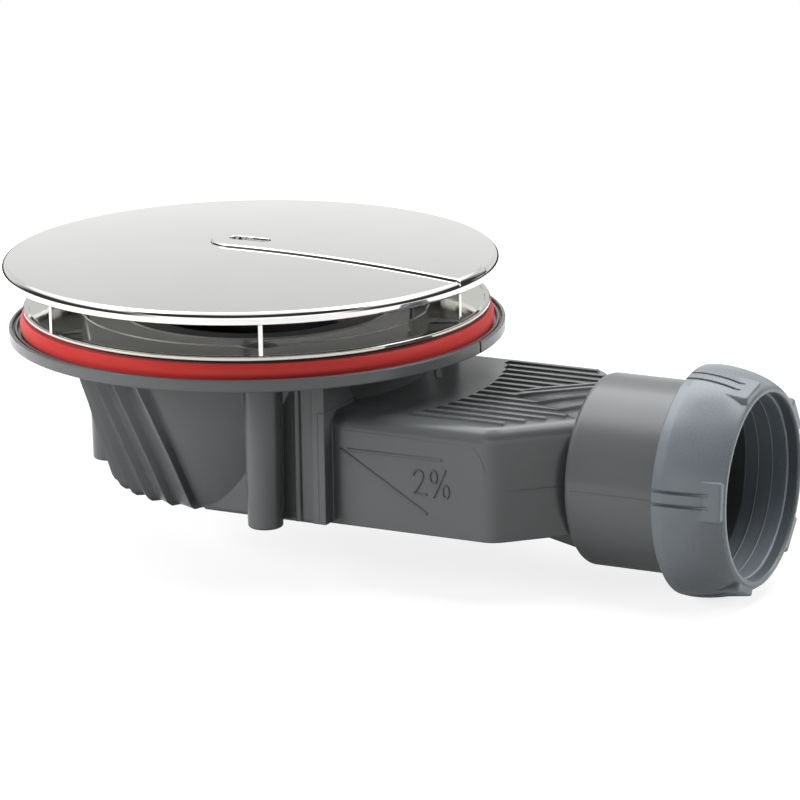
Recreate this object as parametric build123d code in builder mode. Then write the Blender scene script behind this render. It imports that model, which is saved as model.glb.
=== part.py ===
"""Shower trap: low bowl with spiral flutes, clamped dish, lift-off cover, flat duct and pipe socket.

Frame: Z up along the waste axis, X toward the outlet, origin on the axis at the top of the flange lip.
"""
import os
from math import atan, cos, pi, radians, sin, sqrt

from build123d import *

os.makedirs("parts", exist_ok=True)

# Hole in the shower tray, which the radii around the waste axis follow
tray_hole_r = 45.0

# Cover: a loose dome on six short fins, a little off the axis as it lies in the dish
cover_rim_top = 15.2
cover_rim_deep = 2.8
cover_rim_wide = 2.1
cover_round = 1.5
cover_foot = 0.7
cover_crown = 3.0
cover_shell = 2.2
cover_dx = -1.07
cover_dy = -0.58
cover_turn = 0.9
fin_count = 6
fin_setback = 0.5
fin_long = 8.0
fin_lean = 3.4
fin_thick = 1.1
band_half = 7.2
band_rise = 0.6
band_edge = 0.25
band_x0 = -9.5
slot_len = 10.4
slot_wide = 3.2
slot_deep = 1.2
cover_rim_low = cover_rim_top - cover_rim_deep

# Bowl, its flange and the tray seal in the flange's groove
flange_low = -2.73
flange_lip = 0.75
flange_ridge = 0.5
groove_deep = 1.2
seal_inset = 2.55
seal_wide = 9.8
seal_high = 4.0
hole_clear = 0.2
mouth_inset = 1.5
cone_slope = 0.293
bowl_bottom = -37.5
bowl_wall = 2.2
bowl_foot = 2.2
boss_r = 4.0
boss_draft = 0.5
boss_out = 2.0
boss_drop = 0.8
flute_first = -7
flute_last = 4
flute_angle0 = 213.62
flute_pitch = 10.676
flute_twist = -0.415
flute_rise = 2.0
flute_sink = 0.2
flute_step_deg = 1.7
cone_r0 = tray_hole_r - mouth_inset
seal_r_in = tray_hole_r + hole_clear
seal_r_out = seal_r_in + seal_wide
flange_r = seal_r_out + seal_inset
seal_top = seal_high - groove_deep
bowl_floor = bowl_bottom + bowl_wall
boss_low = bowl_bottom - boss_drop

# Clamp dish, its gasket and its screws
cover_overhang = 3.4
dish_setback = 0.9
gasket_thick = 0.5
gasket_setback = 1.7
dish_rim_lift = 0.35
dish_rim_thick = 0.95
dish_sink = 1.7
dish_floor = 1.6
screw_inset = 4.5
screw_angles = [60.0, 180.0, 300.0]
screw_r = 1.95
screw_head_r = 3.6
screw_head_high = 1.65
screw_sunk = 0.1
screw_end = -17.0
pocket_r = 4.9
pocket_fillet = 2.4
pad_deep = 2.4
pad_clear = 0.2
step_wide = 0.6
spigot_inset = 7.8
spigot_wall = 2.4
spigot_low = -8.0
seat_drop = 0.2
dish_r = seal_r_out - dish_setback
dish_sunk_r = tray_hole_r - 2 * hole_clear
cover_r = dish_r + cover_overhang
dish_under = seal_top + gasket_thick
dish_rim_low = dish_under + dish_rim_lift
dish_rim_top = dish_rim_low + dish_rim_thick
dish_low = dish_under - dish_sink
dish_floor_z = dish_low + dish_floor
seat_z = dish_low - seat_drop
screw_circle = cone_r0 - screw_inset
screw_head_z = dish_floor_z - screw_sunk
screw_neck_z = screw_head_z - screw_head_high
pad_r = screw_head_r + 1.1
pad_seat_z = dish_low - pad_deep - 1.2
dish_step_r = screw_circle + 1.4
spigot_r_out = screw_circle - spigot_inset
spigot_r_in = spigot_r_out - spigot_wall
seat_r = spigot_r_out - 0.2
fin_r_out = dish_r - fin_setback
fin_r_in = fin_r_out - fin_long

# Duct, neck and pipe socket
duct_half = 30.5
duct_top = -11.3
duct_wall = 2.0
taper_x0 = 75.0
taper_long = 13.5
taper_half = 17.0
weir_x = 57.0
weir_top = -18.0
rib_count = 14
rib_inset = 5.6
rib_wide = 1.3
rib_rise = 0.6
ramp_long = 24.5
ramp_rise = 4.2
ramp_half = 13.5
neck_lift = 4.9
tube_z = -26.15
tube_long = 31.5
socket_r = 20.3
socket_wall = 1.48
socket_shoulder = 5.0
thread_long = 7.5
thread_high = 1.52
cone_deep = 5.2
cone_lip = 0.55
cone_flare = 2.25
taper_x1 = taper_x0 + taper_long
tube_x0 = taper_x1 - 0.5
tube_x1 = tube_x0 + tube_long
tube_r = socket_r + socket_wall
socket_x0 = tube_x0 + socket_shoulder
thread_x0 = tube_x1 - thread_long
thread_r = tube_r + thread_high
cone_x0 = tube_x1 - cone_deep
cone_r_small = socket_r + cone_lip
cone_r_big = socket_r + cone_flare
duct_bottom = bowl_bottom + 0.3
passage_half = duct_half - duct_wall
passage_top = duct_top - duct_wall
rib_y0 = duct_half - rib_inset
rib_pitch = 2 * rib_y0 / (rib_count - 1)
rib_arc_r = flange_r - 0.15
ramp_x0 = taper_x1 - ramp_long

# Box on the bowl's side that the duct is welded to
box_step = 2.1
box_inset = 11.5
box_deep = 29.0
box_round = 1.2
plate_step = 1.6
plate_thick = 1.6
plate_lift = 0.5
box_half = duct_half + box_step
box_end = cone_r0 - box_inset
plate_half = box_half + plate_step
plate_low = duct_bottom + plate_lift
joint_x = box_end + plate_thick
web_low = duct_top + 0.6
roof_z = web_low + 1.5

# Compression nut and its rings
nut_long = 16.1
nut_wall = 2.7
nut_clear = 0.1
nut_lip = 0.94
lug_count = 5
lug_angle0 = 30.0
lug_wide = 9.0
lug_round = 0.8
lug_setback = 0.3
lug_fall = 2.1
groove_low = 1.05
ring_gap = 2.1
ring_thick = 2.8
ring_step = 0.8
pipe_clear = 0.2
nut_x0 = thread_x0 - 1.0
nut_x1 = nut_x0 + nut_long
nut_bore = thread_r + nut_clear
nut_r = nut_bore + nut_wall
nut_mouth_r = socket_r + nut_lip
lug_x1 = nut_x1 - lug_setback
ring_x0 = tube_x1 + ring_gap
ring_x1 = ring_x0 + ring_thick
ring_r_in = socket_r + pipe_clear
ring_r_out = nut_bore - ring_step

# Removable dip tube and its ring
dip_clear = 0.3
dip_r_in = 17.0
dip_wall = 1.8
dip_sleeve_wall = 3.5
dip_flange_thick = 1.2
dip_lift = 5.0
dip_bar = 2.2
o_ring_d = 2.0
o_ring_z = -3.0
dip_flange_r = seat_r - dip_clear
dip_sleeve_r = spigot_r_in - dip_clear
dip_neck_r = dip_sleeve_r - dip_sleeve_wall
dip_r_out = dip_r_in + dip_wall
dip_low = bowl_floor + dip_lift
ring_groove_r = spigot_r_in - o_ring_d

TUBE_AXIS = Axis((0, 0, tube_z), (1, 0, 0))
TUBE_PLANE = Plane(origin=(0, 0, tube_z), x_dir=(1, 0, 0), z_dir=(0, -1, 0))
TOP_DOWN = (Align.CENTER, Align.CENTER, Align.MAX)
BOTTOM_UP = (Align.CENTER, Align.CENTER, Align.MIN)


def upright(angle, x0=0.0, y0=0.0):
    """Plane standing on the axis at (x0, y0), its local x pointing out along the angle."""
    a = radians(angle)
    return Plane(origin=(x0, y0, 0), x_dir=(cos(a), sin(a), 0), z_dir=(sin(a), -cos(a), 0))


def on_circle(radius, angle, z=0.0):
    """Point at a radius and an angle about the waste axis."""
    a = radians(angle)
    return (radius * cos(a), radius * sin(a), z)


def dome_z(radius, lift=0.0):
    """Height of the cover's top at a radius."""
    return cover_rim_top + lift + cover_crown * (1 - (radius / cover_r) ** 2)


def on_dome(radius, lift=0.0):
    """Point of the cover's half section at a radius."""
    return (radius, dome_z(radius, lift))


# Cover
cover_axis = Axis((cover_dx, cover_dy, 0), (0, 0, 1))
cover_side = upright(cover_turn, cover_dx, cover_dy)
band_low = cover_rim_low + 0.6
band_back = 0.05
band_end = cover_r - band_back
dome_tilt = atan(2 * cover_crown / cover_r)
half_turn = pi / 4 + dome_tilt / 2
top_r = cover_r - cover_round * (1 - sin(dome_tilt))
mid_r = cover_r - cover_round * (1 - sin(half_turn))
wall_z = dome_z(top_r) - cover_round * cos(dome_tilt)
mid_z = wall_z + cover_round * cos(half_turn)
with BuildPart() as cover:
    with BuildSketch(Plane(origin=(cover_dx, cover_dy, band_low), x_dir=cover_side.x_dir, z_dir=(0, 0, 1))):
        with Locations((band_x0 + band_half, 0)):
            Circle(band_half)
        with Locations((band_x0 + band_half, 0)):
            Rectangle(cover_r + 2 * band_half, 2 * band_half, align=(Align.MIN, Align.CENTER))
    extrude(amount=cover_rim_deep + cover_crown + 4)
    with BuildSketch(cover_side):
        with BuildLine():
            band_top = (top_r - band_back, dome_z(top_r, band_rise))
            ThreePointArc(on_dome(0, band_rise), on_dome(top_r / 2, band_rise), band_top)
            ThreePointArc(band_top, (mid_r - band_back, mid_z + band_rise), (band_end, wall_z + band_rise))
            Polyline((band_end, wall_z + band_rise), (band_end, band_low), (0, band_low), on_dome(0, band_rise))
        make_face()
    revolve(axis=cover_axis, mode=Mode.INTERSECT)
    band_edges = [e for e in cover.edges() if e.center().Z > cover_rim_top + band_edge]
    fillet(band_edges, radius=band_edge)
    with BuildSketch(cover_side):
        with BuildLine():
            under_r = cover_r - cover_rim_wide - 0.2
            ThreePointArc(on_dome(0), on_dome(top_r / 2), on_dome(top_r))
            ThreePointArc(on_dome(top_r), (mid_r, mid_z), (cover_r, wall_z))
            Line((cover_r, wall_z), (cover_r, cover_rim_low + cover_foot))
            ThreePointArc(
                (cover_r, cover_rim_low + cover_foot),
                (cover_r - 0.293 * cover_foot, cover_rim_low + 0.293 * cover_foot),
                (cover_r - cover_foot, cover_rim_low),
            )
            Line((cover_r - cover_foot, cover_rim_low), (cover_r - cover_rim_wide, cover_rim_low))
            Line((cover_r - cover_rim_wide, cover_rim_low), on_dome(under_r, -cover_shell))
            ThreePointArc(on_dome(under_r, -cover_shell), on_dome(under_r / 2, -cover_shell), on_dome(0, -cover_shell))
            Line(on_dome(0, -cover_shell), on_dome(0))
        make_face()
    revolve(axis=cover_axis)
    for i in range(fin_count):
        with BuildSketch(upright(cover_turn + 360 / fin_count * i, cover_dx, cover_dy)):
            with BuildLine():
                Polyline(
                    (fin_r_out, dish_rim_top),
                    on_dome(fin_r_out, -cover_shell / 2),
                    on_dome(fin_r_in - fin_lean, -cover_shell / 2),
                    (fin_r_in, dish_rim_top),
                    (fin_r_out, dish_rim_top),
                )
            make_face()
        extrude(amount=fin_thick / 2, both=True)
    slot_top = dome_z(0, band_rise) + 2
    with BuildSketch(Plane(origin=(cover_dx, cover_dy, slot_top), x_dir=cover_side.x_dir, z_dir=(0, 0, 1))):
        SlotOverall(slot_len, slot_wide)
    extrude(amount=-2 - slot_deep, mode=Mode.SUBTRACT)
cover.part.label = "cover"
export_step(cover.part, "parts/cover.step")

# Clamp dish: its step runs round the screw pockets
with BuildPart() as clamp_flange:
    with BuildSketch(Plane.XZ):
        with BuildLine():
            Polyline(
                (seat_r, seat_z),
                (seat_r, seat_z + dip_flange_thick),
                (seat_r + 0.3, seat_z + dip_flange_thick + 0.25),
                (dish_step_r - 1.0, dish_floor_z),
                (dish_step_r - 0.9, dish_rim_low),
                (dish_r - 1.5, dish_rim_top - 0.3),
                (dish_r - 1.2, dish_rim_top),
                (dish_r - 0.25, dish_rim_top),
                (dish_r, dish_rim_top - 0.25),
                (dish_r, dish_rim_low),
                (dish_r - gasket_setback + 0.2, dish_rim_low),
                (dish_r - gasket_setback, dish_under),
                (dish_sunk_r + 0.3, dish_under),
                (dish_sunk_r, dish_low),
                (spigot_r_out, dish_low),
                (spigot_r_out, spigot_low),
                (spigot_r_in, spigot_low),
                (spigot_r_in, seat_z),
                (seat_r, seat_z),
            )
        make_face()
    revolve(axis=Axis.Z)
    with BuildSketch(Plane.XY.offset(dish_floor_z)) as dish_step:
        Circle(dish_step_r)
        with Locations([on_circle(screw_circle, a) for a in screw_angles]):
            Circle(pocket_r)
        fillet(dish_step.vertices().filter_by(lambda v: abs(Vector(v).length - dish_step_r) < 0.01), pocket_fillet)
    extrude(amount=2, mode=Mode.SUBTRACT)
    brink = clamp_flange.edges().filter_by_position(Axis.Z, dish_rim_low - 0.1, dish_rim_low + 0.3)
    brink = brink.filter_by(lambda e: Vector(e.center().X, e.center().Y).length < dish_step_r + pocket_r)
    chamfer(brink, length=step_wide / 2)
    for a in screw_angles:
        with Locations(on_circle(screw_circle, a, dish_low)):
            Cylinder(pad_r, pad_deep, align=TOP_DOWN)
        with Locations(on_circle(screw_circle, a, screw_head_z)):
            Cylinder(screw_head_r, 2 * screw_sunk, align=BOTTOM_UP, mode=Mode.SUBTRACT)
        with Locations(on_circle(screw_circle, a, screw_head_z)):
            Cone(screw_r + 0.15, screw_head_r, screw_head_high, align=TOP_DOWN, mode=Mode.SUBTRACT)
        with Locations(on_circle(screw_circle, a, screw_head_z)):
            Cylinder(screw_r + 0.15, dish_floor + pad_deep + 1, align=TOP_DOWN, mode=Mode.SUBTRACT)
clamp_flange.part.label = "clamp_flange"
export_step(clamp_flange.part, "parts/clamp_flange.step")

# Screws
with BuildPart() as clamp_screws:
    for a in screw_angles:
        foot = on_circle(screw_circle, a)
        with BuildSketch(upright(a, foot[0], foot[1])):
            with BuildLine():
                Polyline(
                    (0, screw_head_z),
                    (screw_head_r, screw_head_z),
                    (screw_r + 0.15, screw_neck_z),
                    (screw_r, screw_neck_z - 0.2),
                    (screw_r, screw_end + 1.2),
                    (0.4 * screw_r, screw_end),
                    (0, screw_end),
                    (0, screw_head_z),
                )
            make_face()
        revolve(axis=Axis((foot[0], foot[1], 0), (0, 0, 1)))
        for turn in (0, 90):
            with Locations(Location((foot[0], foot[1], screw_head_z), (0, 0, a + 20 + turn))):
                Box(1.1 * screw_head_r, 0.9, 0.6 * screw_head_high, align=TOP_DOWN, mode=Mode.SUBTRACT)
clamp_screws.part.label = "clamp_screws"
export_step(clamp_screws.part, "parts/clamp_screws.step")

# Thin gasket under the dish's rim
with BuildPart() as rim_gasket:
    with BuildSketch(Plane.XY.offset(seal_top)):
        Circle(dish_r - gasket_setback - 0.2)
        Circle(seal_r_in, mode=Mode.SUBTRACT)
    extrude(amount=gasket_thick)
rim_gasket.part.label = "rim_gasket"
export_step(rim_gasket.part, "parts/rim_gasket.step")

# Tray seal
with BuildPart() as tray_seal:
    with BuildSketch(Plane.XZ):
        with BuildLine():
            Polyline(
                (seal_r_out - 0.8, seal_top),
                (seal_r_in, seal_top),
                (seal_r_in, -groove_deep),
                (seal_r_out - 0.5, -groove_deep),
            )
            ThreePointArc(
                (seal_r_out - 0.5, -groove_deep),
                (seal_r_out, seal_top - 0.525 * seal_high),
                (seal_r_out - 0.8, seal_top),
            )
        make_face()
    revolve(axis=Axis.Z)
tray_seal.part.label = "tray_seal"
export_step(tray_seal.part, "parts/tray_seal.step")

# Bowl
foot_z = bowl_bottom + bowl_foot
foot_r = cone_r0 + cone_slope * foot_z
lip_r = flange_r - flange_lip
flute_levels = [
    (flange_low + 0.7, 0.0),
    (0.35 * foot_z, 0.0),
    (0.7 * foot_z, 0.0),
    (foot_z, 0.0),
    (foot_z - 0.5 * bowl_foot, -0.12 * bowl_foot),
    (foot_z - 0.87 * bowl_foot, -0.49 * bowl_foot),
    (bowl_bottom + 0.12, -0.98 * bowl_foot),
]


def flute_ring(z, shrink):
    """Corner points of the saw-toothed fan at one height."""
    ridge = cone_r0 + flute_rise + cone_slope * z + shrink
    points = []
    for i in range(flute_first, flute_last + 1):
        a = flute_angle0 + flute_pitch * i + flute_twist * z
        points.append(on_circle(ridge, a, z))
        points.append(on_circle(ridge - flute_rise - flute_sink, a + flute_step_deg, z))
    start = flute_angle0 + flute_pitch * flute_first + flute_twist * z - flute_pitch + flute_step_deg
    stop = flute_angle0 + flute_pitch * flute_last + flute_twist * z + flute_step_deg
    for k in range(7):
        points.append(on_circle(ridge - flute_rise - 3.5, stop - (stop - start) * k / 6, z))
    points.append(on_circle(ridge - flute_rise - flute_sink, start, z))
    return points


with BuildPart() as bowl_cavity:
    with BuildSketch(Plane.XZ):
        with BuildLine():
            Polyline(
                (0, 1),
                (cone_r0 - bowl_wall, 1),
                (cone_r0 - bowl_wall, 0),
                (cone_r0 - bowl_wall + cone_slope * bowl_floor, bowl_floor),
                (0, bowl_floor),
                (0, 1),
            )
        make_face()
    revolve(axis=Axis.Z)
    with Locations((box_end - 1.2, 0, roof_z)):
        Box(40, 4 * box_half, 40, align=(Align.MIN, Align.CENTER, Align.MAX), mode=Mode.SUBTRACT)
    with Locations((box_end - 1.2, 0, bowl_floor)):
        Box(
            box_deep,
            2 * (box_half - bowl_wall),
            flange_low - bowl_wall - bowl_floor,
            align=(Align.MAX, Align.CENTER, Align.MIN),
        )
    with Locations((box_end - 8, 0, bowl_floor)):
        Box(20, 2 * passage_half, passage_top - bowl_floor, align=(Align.MIN, Align.CENTER, Align.MIN))

with BuildPart() as trap_bowl:
    for z, shrink in flute_levels:
        with BuildSketch(Plane.XY.offset(z)):
            with BuildLine():
                Polyline(*[(q[0], q[1]) for q in flute_ring(z, shrink)], close=True)
            make_face()
    loft(ruled=True)
    with BuildSketch(Plane.XZ):
        with BuildLine():
            Polyline((0, flange_low), (cone_r0 + cone_slope * flange_low, flange_low), (foot_r, foot_z))
            ThreePointArc(
                (foot_r, foot_z),
                (foot_r - 0.5 * bowl_foot, foot_z - 0.72 * bowl_foot),
                (foot_r - 1.34 * bowl_foot, bowl_bottom),
            )
            Polyline((foot_r - 1.34 * bowl_foot, bowl_bottom), (0, bowl_bottom), (0, flange_low))
        make_face()
    revolve(axis=Axis.Z)
    with BuildSketch(Plane.YZ.offset(box_end - box_deep)) as box_side:
        with Locations((0, bowl_bottom)):
            Rectangle(2 * box_half, flange_low - bowl_bottom, align=(Align.CENTER, Align.MIN))
        fillet(box_side.vertices().group_by(Axis.Y)[0], box_round)
    extrude(amount=box_deep)
    with Locations((box_end, 0, plate_low)):
        Box(plate_thick, 2 * plate_half, flange_low - plate_low, align=(Align.MIN, Align.CENTER, Align.MIN))
    with Locations((box_end, 0, web_low)):
        Box(2 * plate_thick, 2 * plate_half, flange_low - web_low, align=(Align.MIN, Align.CENTER, Align.MIN))
    for side in (-1, 1):
        with Locations((box_end - 4.4, side * box_half, bowl_bottom + 0.6)):
            Cylinder(0.9, flange_low - bowl_bottom - 0.6, align=BOTTOM_UP)
    with BuildSketch(Plane.XZ):
        with BuildLine():
            Polyline(
                (cone_r0 - 5.5, flange_low),
                (flange_r - 0.2, flange_low),
                (flange_r, flange_low + 0.2),
                (flange_r, -0.2),
                (flange_r - 0.2, 0),
                (lip_r, 0),
                (lip_r - 0.1, -0.75 * groove_deep),
                (lip_r - 0.6, -0.75 * groove_deep),
                (lip_r - 0.7, -0.2),
                (lip_r - 0.7 - flange_ridge, -0.2),
                (lip_r - 0.8 - flange_ridge, -groove_deep),
                (seal_r_in - 0.4, -groove_deep),
                (seal_r_in - 0.6, 0),
                (cone_r0 - 5.5, 0),
                (cone_r0 - 5.5, flange_low),
            )
        make_face()
    revolve(axis=Axis.Z)
    with Locations((flange_r, 0, 0)):
        Box(0.7, 0.8, 10, mode=Mode.SUBTRACT)
    with Locations((joint_x, 0, duct_top)):
        Box(30, 4 * box_half, 40, align=(Align.MIN, Align.CENTER, Align.MAX), mode=Mode.SUBTRACT)
    with Locations((joint_x, 0, web_low)):
        Box(plate_thick, 4 * box_half, 40, align=(Align.MIN, Align.CENTER, Align.MAX), mode=Mode.SUBTRACT)
    add(bowl_cavity.part, mode=Mode.SUBTRACT)
    for a in screw_angles:
        with Locations(on_circle(screw_circle + boss_out, a, boss_low)):
            Cone(boss_r, boss_r + boss_draft, pad_seat_z - boss_low, align=BOTTOM_UP)
    boss_rims = trap_bowl.edges().filter_by(GeomType.CIRCLE)
    fillet(boss_rims.filter_by_position(Axis.Z, boss_low - 0.01, boss_low + 0.01), 0.6)
    for a in screw_angles:
        with Locations(on_circle(screw_circle, a, pad_seat_z)):
            Cylinder(pad_r + pad_clear, 4 - pad_seat_z, align=BOTTOM_UP, mode=Mode.SUBTRACT)
        with Locations(on_circle(screw_circle, a, screw_end - 1.5)):
            Cylinder(screw_r, 2 - screw_end, align=BOTTOM_UP, mode=Mode.SUBTRACT)
    with Locations(on_circle(flange_r - 3.25, -13.0, flange_low + 0.2)):
        Cylinder(0.8, 3.2, align=TOP_DOWN)
trap_bowl.part.label = "trap_bowl"
export_step(trap_bowl.part, "parts/trap_bowl.step")

# Duct with neck and pipe socket
neck_x = taper_x1 + 0.3
neck_low = tube_z - tube_r + neck_lift
duct_outline = [
    (joint_x, duct_half),
    (taper_x0, duct_half),
    (taper_x1, taper_half),
    (taper_x1, -taper_half),
    (taper_x0, -duct_half),
    (joint_x, -duct_half),
]
passage_outline = [
    (joint_x - 1, passage_half),
    (taper_x0 - 0.8, passage_half),
    (taper_x1 - 1.0, taper_half - 2.2),
    (tube_x0 + 2.5, taper_half - 2.5),
    (tube_x0 + 2.5, 2.5 - taper_half),
    (taper_x1 - 1.0, 2.2 - taper_half),
    (taper_x0 - 0.8, -passage_half),
    (joint_x - 1, -passage_half),
]


def rib_end(y):
    """Where a rib of the duct's top stops, by its distance from the middle."""
    if abs(y) < 2.6 * rib_pitch:
        return taper_x1 - 0.6
    end = taper_x0 + 0.2 + 0.86 * (rib_y0 + 0.5 - abs(y))
    return min(end, taper_x0 + 5.5) if y > 0 else end


ramp_profile = [
    (ramp_half, 0.0),
    (2.5 * rib_pitch, 0.46 * ramp_rise),
    (1.5 * rib_pitch, 0.79 * ramp_rise),
    (0.5 * rib_pitch, ramp_rise),
]


def ramp_section(scale):
    """Closed section of the ramp in front of the tube, at a share of its full size."""
    right = [(scale * y, duct_top + scale * rise) for y, rise in ramp_profile]
    left = [(-y, z) for y, z in reversed(right)]
    return [(scale * ramp_half, duct_top - 1), *right, *left, (-scale * ramp_half, duct_top - 1)]


def ramp_height(x, y):
    """Height of the ramp above the duct's top, none beside it."""
    share = (x - ramp_x0) / ramp_long
    outer, low = share * ramp_half, 0.0
    for half, rise in ramp_profile:
        inner, high = share * half, share * rise
        if inner <= abs(y) < outer:
            return high + (low - high) * (abs(y) - inner) / (outer - inner)
        outer, low = inner, high
    return max(low, 0.0) if abs(y) < outer else 0.0


def rib_crest(y, x0, x1):
    """Corner points along a rib's top, which climbs the ramp where it meets it."""
    crest = duct_top + rib_rise
    points = [(x0 + 1.2, crest)]
    for half, rise in ramp_profile:
        x = ramp_x0 + ramp_long * abs(y) / half
        if points[-1][0] + 0.3 < x < x1 - 0.7:
            points.append((x, crest + ramp_height(x, y)))
    points.append((x1 - 0.4, crest + ramp_height(x1 - 0.4, y)))
    points.append((x1, crest + ramp_height(x1, y) - 0.5))
    return points


with BuildPart() as outlet_duct:
    with BuildSketch(Plane.XY.offset(duct_bottom)):
        with BuildLine():
            Polyline(*duct_outline, close=True)
        make_face()
    extrude(amount=duct_top - duct_bottom)
    corners = outlet_duct.edges().filter_by(Axis.Z).filter_by_position(Axis.X, taper_x0 - 1, taper_x0 + 1)
    fillet(corners, radius=6.0)
    rims = outlet_duct.faces().sort_by(Axis.Z)[-1].edges()
    rims = [e for e in rims if e.center().X > joint_x + 1 and e.center().X < taper_x1 - 1]
    fillet(rims, radius=3.4)
    with Locations((joint_x, 0, plate_low)):
        Box(plate_thick, 2 * plate_half, web_low - plate_low, align=(Align.MIN, Align.CENTER, Align.MIN))
    with BuildSketch(TUBE_PLANE):
        with BuildLine():
            Polyline((tube_x0, 0), (tube_x0, tube_r - 1.5))
            ThreePointArc((tube_x0, tube_r - 1.5), (tube_x0 + 0.44, tube_r - 0.44), (tube_x0 + 1.5, tube_r))
            Polyline(
                (tube_x0 + 1.5, tube_r),
                (thread_x0 - 0.6, tube_r),
                (thread_x0, thread_r),
                (tube_x1 - 0.4, thread_r),
                (tube_x1, thread_r - 0.3),
                (tube_x1, 0),
                (tube_x0, 0),
            )
        make_face()
    revolve(axis=TUBE_AXIS)
    for share in (0.05, 1.0):
        with BuildSketch(Plane.YZ.offset(ramp_x0 + ramp_long * share)):
            with BuildLine():
                Polyline(*ramp_section(share), close=True)
            make_face()
    loft(ruled=True)
    with BuildSketch(Plane.XZ):
        with BuildLine():
            Polyline(
                (taper_x0 - 13, duct_bottom + 4.2),
                (taper_x0 - 13, duct_bottom),
                (neck_x, neck_low),
                (neck_x, duct_bottom + 4.2),
                close=True,
            )
        make_face()
    extrude(amount=10, both=True)
    for i in range(rib_count):
        y = rib_y0 - rib_pitch * i
        x0 = sqrt(rib_arc_r**2 - y**2)
        x1 = rib_end(y)
        rib_side = [(x0, duct_top - 0.8), (x0, duct_top - 0.05), *rib_crest(y, x0, x1), (x1, duct_top - 0.8)]
        with BuildSketch(Plane.XZ.offset(-y)):
            with BuildLine():
                Polyline(*rib_side, close=True)
            make_face()
        extrude(amount=rib_wide / 2, both=True)
    with BuildSketch(Plane.XY.offset(bowl_floor)):
        with BuildLine():
            Polyline(*passage_outline, close=True)
        make_face()
    extrude(amount=passage_top - bowl_floor, mode=Mode.SUBTRACT)
    with BuildSketch(Plane.XZ):
        with BuildLine():
            Polyline(
                (taper_x0 - 9, bowl_floor + 0.1),
                (tube_x0 + 2.1, neck_low + 2.4),
                (tube_x0 + 2.1, bowl_floor + 0.1),
                close=True,
            )
        make_face()
    extrude(amount=8, both=True, mode=Mode.SUBTRACT)
    with BuildSketch(TUBE_PLANE):
        with BuildLine():
            Polyline(
                (tube_x0 + 2, 0),
                (tube_x0 + 2, socket_r - 1.3),
                (socket_x0, socket_r - 1.3),
                (socket_x0, socket_r),
                (cone_x0, socket_r),
                (cone_x0, cone_r_small),
                (tube_x1, cone_r_big),
                (tube_x1 + 1, cone_r_big),
                (tube_x1 + 1, 0),
                (tube_x0 + 2, 0),
            )
        make_face()
    revolve(axis=TUBE_AXIS, mode=Mode.SUBTRACT)
    with Locations((weir_x, 0, bowl_floor - 0.5)):
        Box(duct_wall, 2 * passage_half + 1, weir_top - bowl_floor + 0.5, align=BOTTOM_UP)
outlet_duct.part.label = "outlet_duct"
export_step(outlet_duct.part, "parts/outlet_duct.step")

# Compression nut
lug_long = lug_x1 - nut_x0 - 2.0
with BuildPart() as nut_groove:
    for s in (-1, 1):
        with BuildSketch(Plane.XZ.offset(s * 0.16 * lug_wide)):
            with BuildLine():
                Polyline(
                    (-2.5, nut_r - groove_low),
                    (0.8 * lug_long, nut_r - 0.2 - 0.8 * lug_fall),
                    (0.8 * lug_long, nut_r + 2),
                    (-2.5, nut_r + 2),
                    close=True,
                )
            make_face()
        extrude(amount=0.35, both=True)
with BuildPart() as nut_lug:
    with BuildSketch(Plane.XZ):
        with BuildLine():
            Polyline(
                (0, nut_r - 4.5),
                (0, nut_r - 0.25),
                (lug_long, nut_r - lug_fall),
                (lug_long, nut_r - 4.5),
                close=True,
            )
        make_face()
    extrude(amount=lug_wide / 2, both=True)
    fillet(nut_lug.faces().sort_by(Axis.X)[-1].edges().filter_by(Axis.Z), lug_round)
    fillet(nut_lug.faces().sort_by(Axis.Z)[-1].edges().filter_by_position(Axis.X, 0.1, lug_long), 0.45)
    add(nut_groove.part, mode=Mode.SUBTRACT)
with BuildPart() as compression_nut:
    with BuildSketch(TUBE_PLANE):
        with BuildLine():
            Polyline(
                (nut_x0, nut_mouth_r - 1),
                (nut_x0, nut_r - 0.7),
                (nut_x0 + 0.4, nut_r - 0.2),
                (nut_x0 + 2.6, nut_r),
            )
            Spline(
                (nut_x0 + 2.6, nut_r),
                (nut_x1 - 9.1, nut_r - 0.35),
                (nut_x1 - 5.1, nut_r - 1.25),
                (nut_x1 - 1.9, nut_r - 2.55),
                (nut_x1 - 0.4, nut_r - 3.5),
                tangents=((1, 0), (0.78, -0.62)),
            )
            Polyline(
                (nut_x1 - 0.4, nut_r - 3.5),
                (nut_x1, nut_r - 4.1),
                (nut_x1, nut_mouth_r - 1),
                (nut_x0, nut_mouth_r - 1),
            )
        make_face()
    revolve(axis=TUBE_AXIS)
    for i in range(lug_count):
        a = radians(lug_angle0 + 360 / lug_count * i)
        lug_plane = Plane(origin=(nut_x0 + 2.0, 0, tube_z), x_dir=(1, 0, 0), z_dir=(0, cos(a), sin(a)))
        with Locations(lug_plane):
            add(nut_lug.part)
        with Locations(lug_plane):
            add(nut_groove.part, mode=Mode.SUBTRACT)
    with BuildSketch(TUBE_PLANE):
        with BuildLine():
            Polyline(
                (nut_x0 - 1, 0),
                (nut_x0 - 1, nut_bore + 0.8),
                (nut_x0, nut_bore + 0.8),
                (nut_x0 + 0.8, nut_bore),
                (ring_x0 - 0.6, nut_bore),
                (ring_x0 - 0.6, ring_r_out + nut_clear),
                (ring_x1, ring_r_out + nut_clear),
                (ring_x1, nut_mouth_r - 0.24),
                (nut_x1 - 0.5, nut_mouth_r - 0.24),
                (nut_x1, nut_mouth_r),
                (nut_x1 + 1, nut_mouth_r),
                (nut_x1 + 1, 0),
                (nut_x0 - 1, 0),
            )
        make_face()
    revolve(axis=TUBE_AXIS, mode=Mode.SUBTRACT)
compression_nut.part.label = "compression_nut"
export_step(compression_nut.part, "parts/compression_nut.step")

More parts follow.
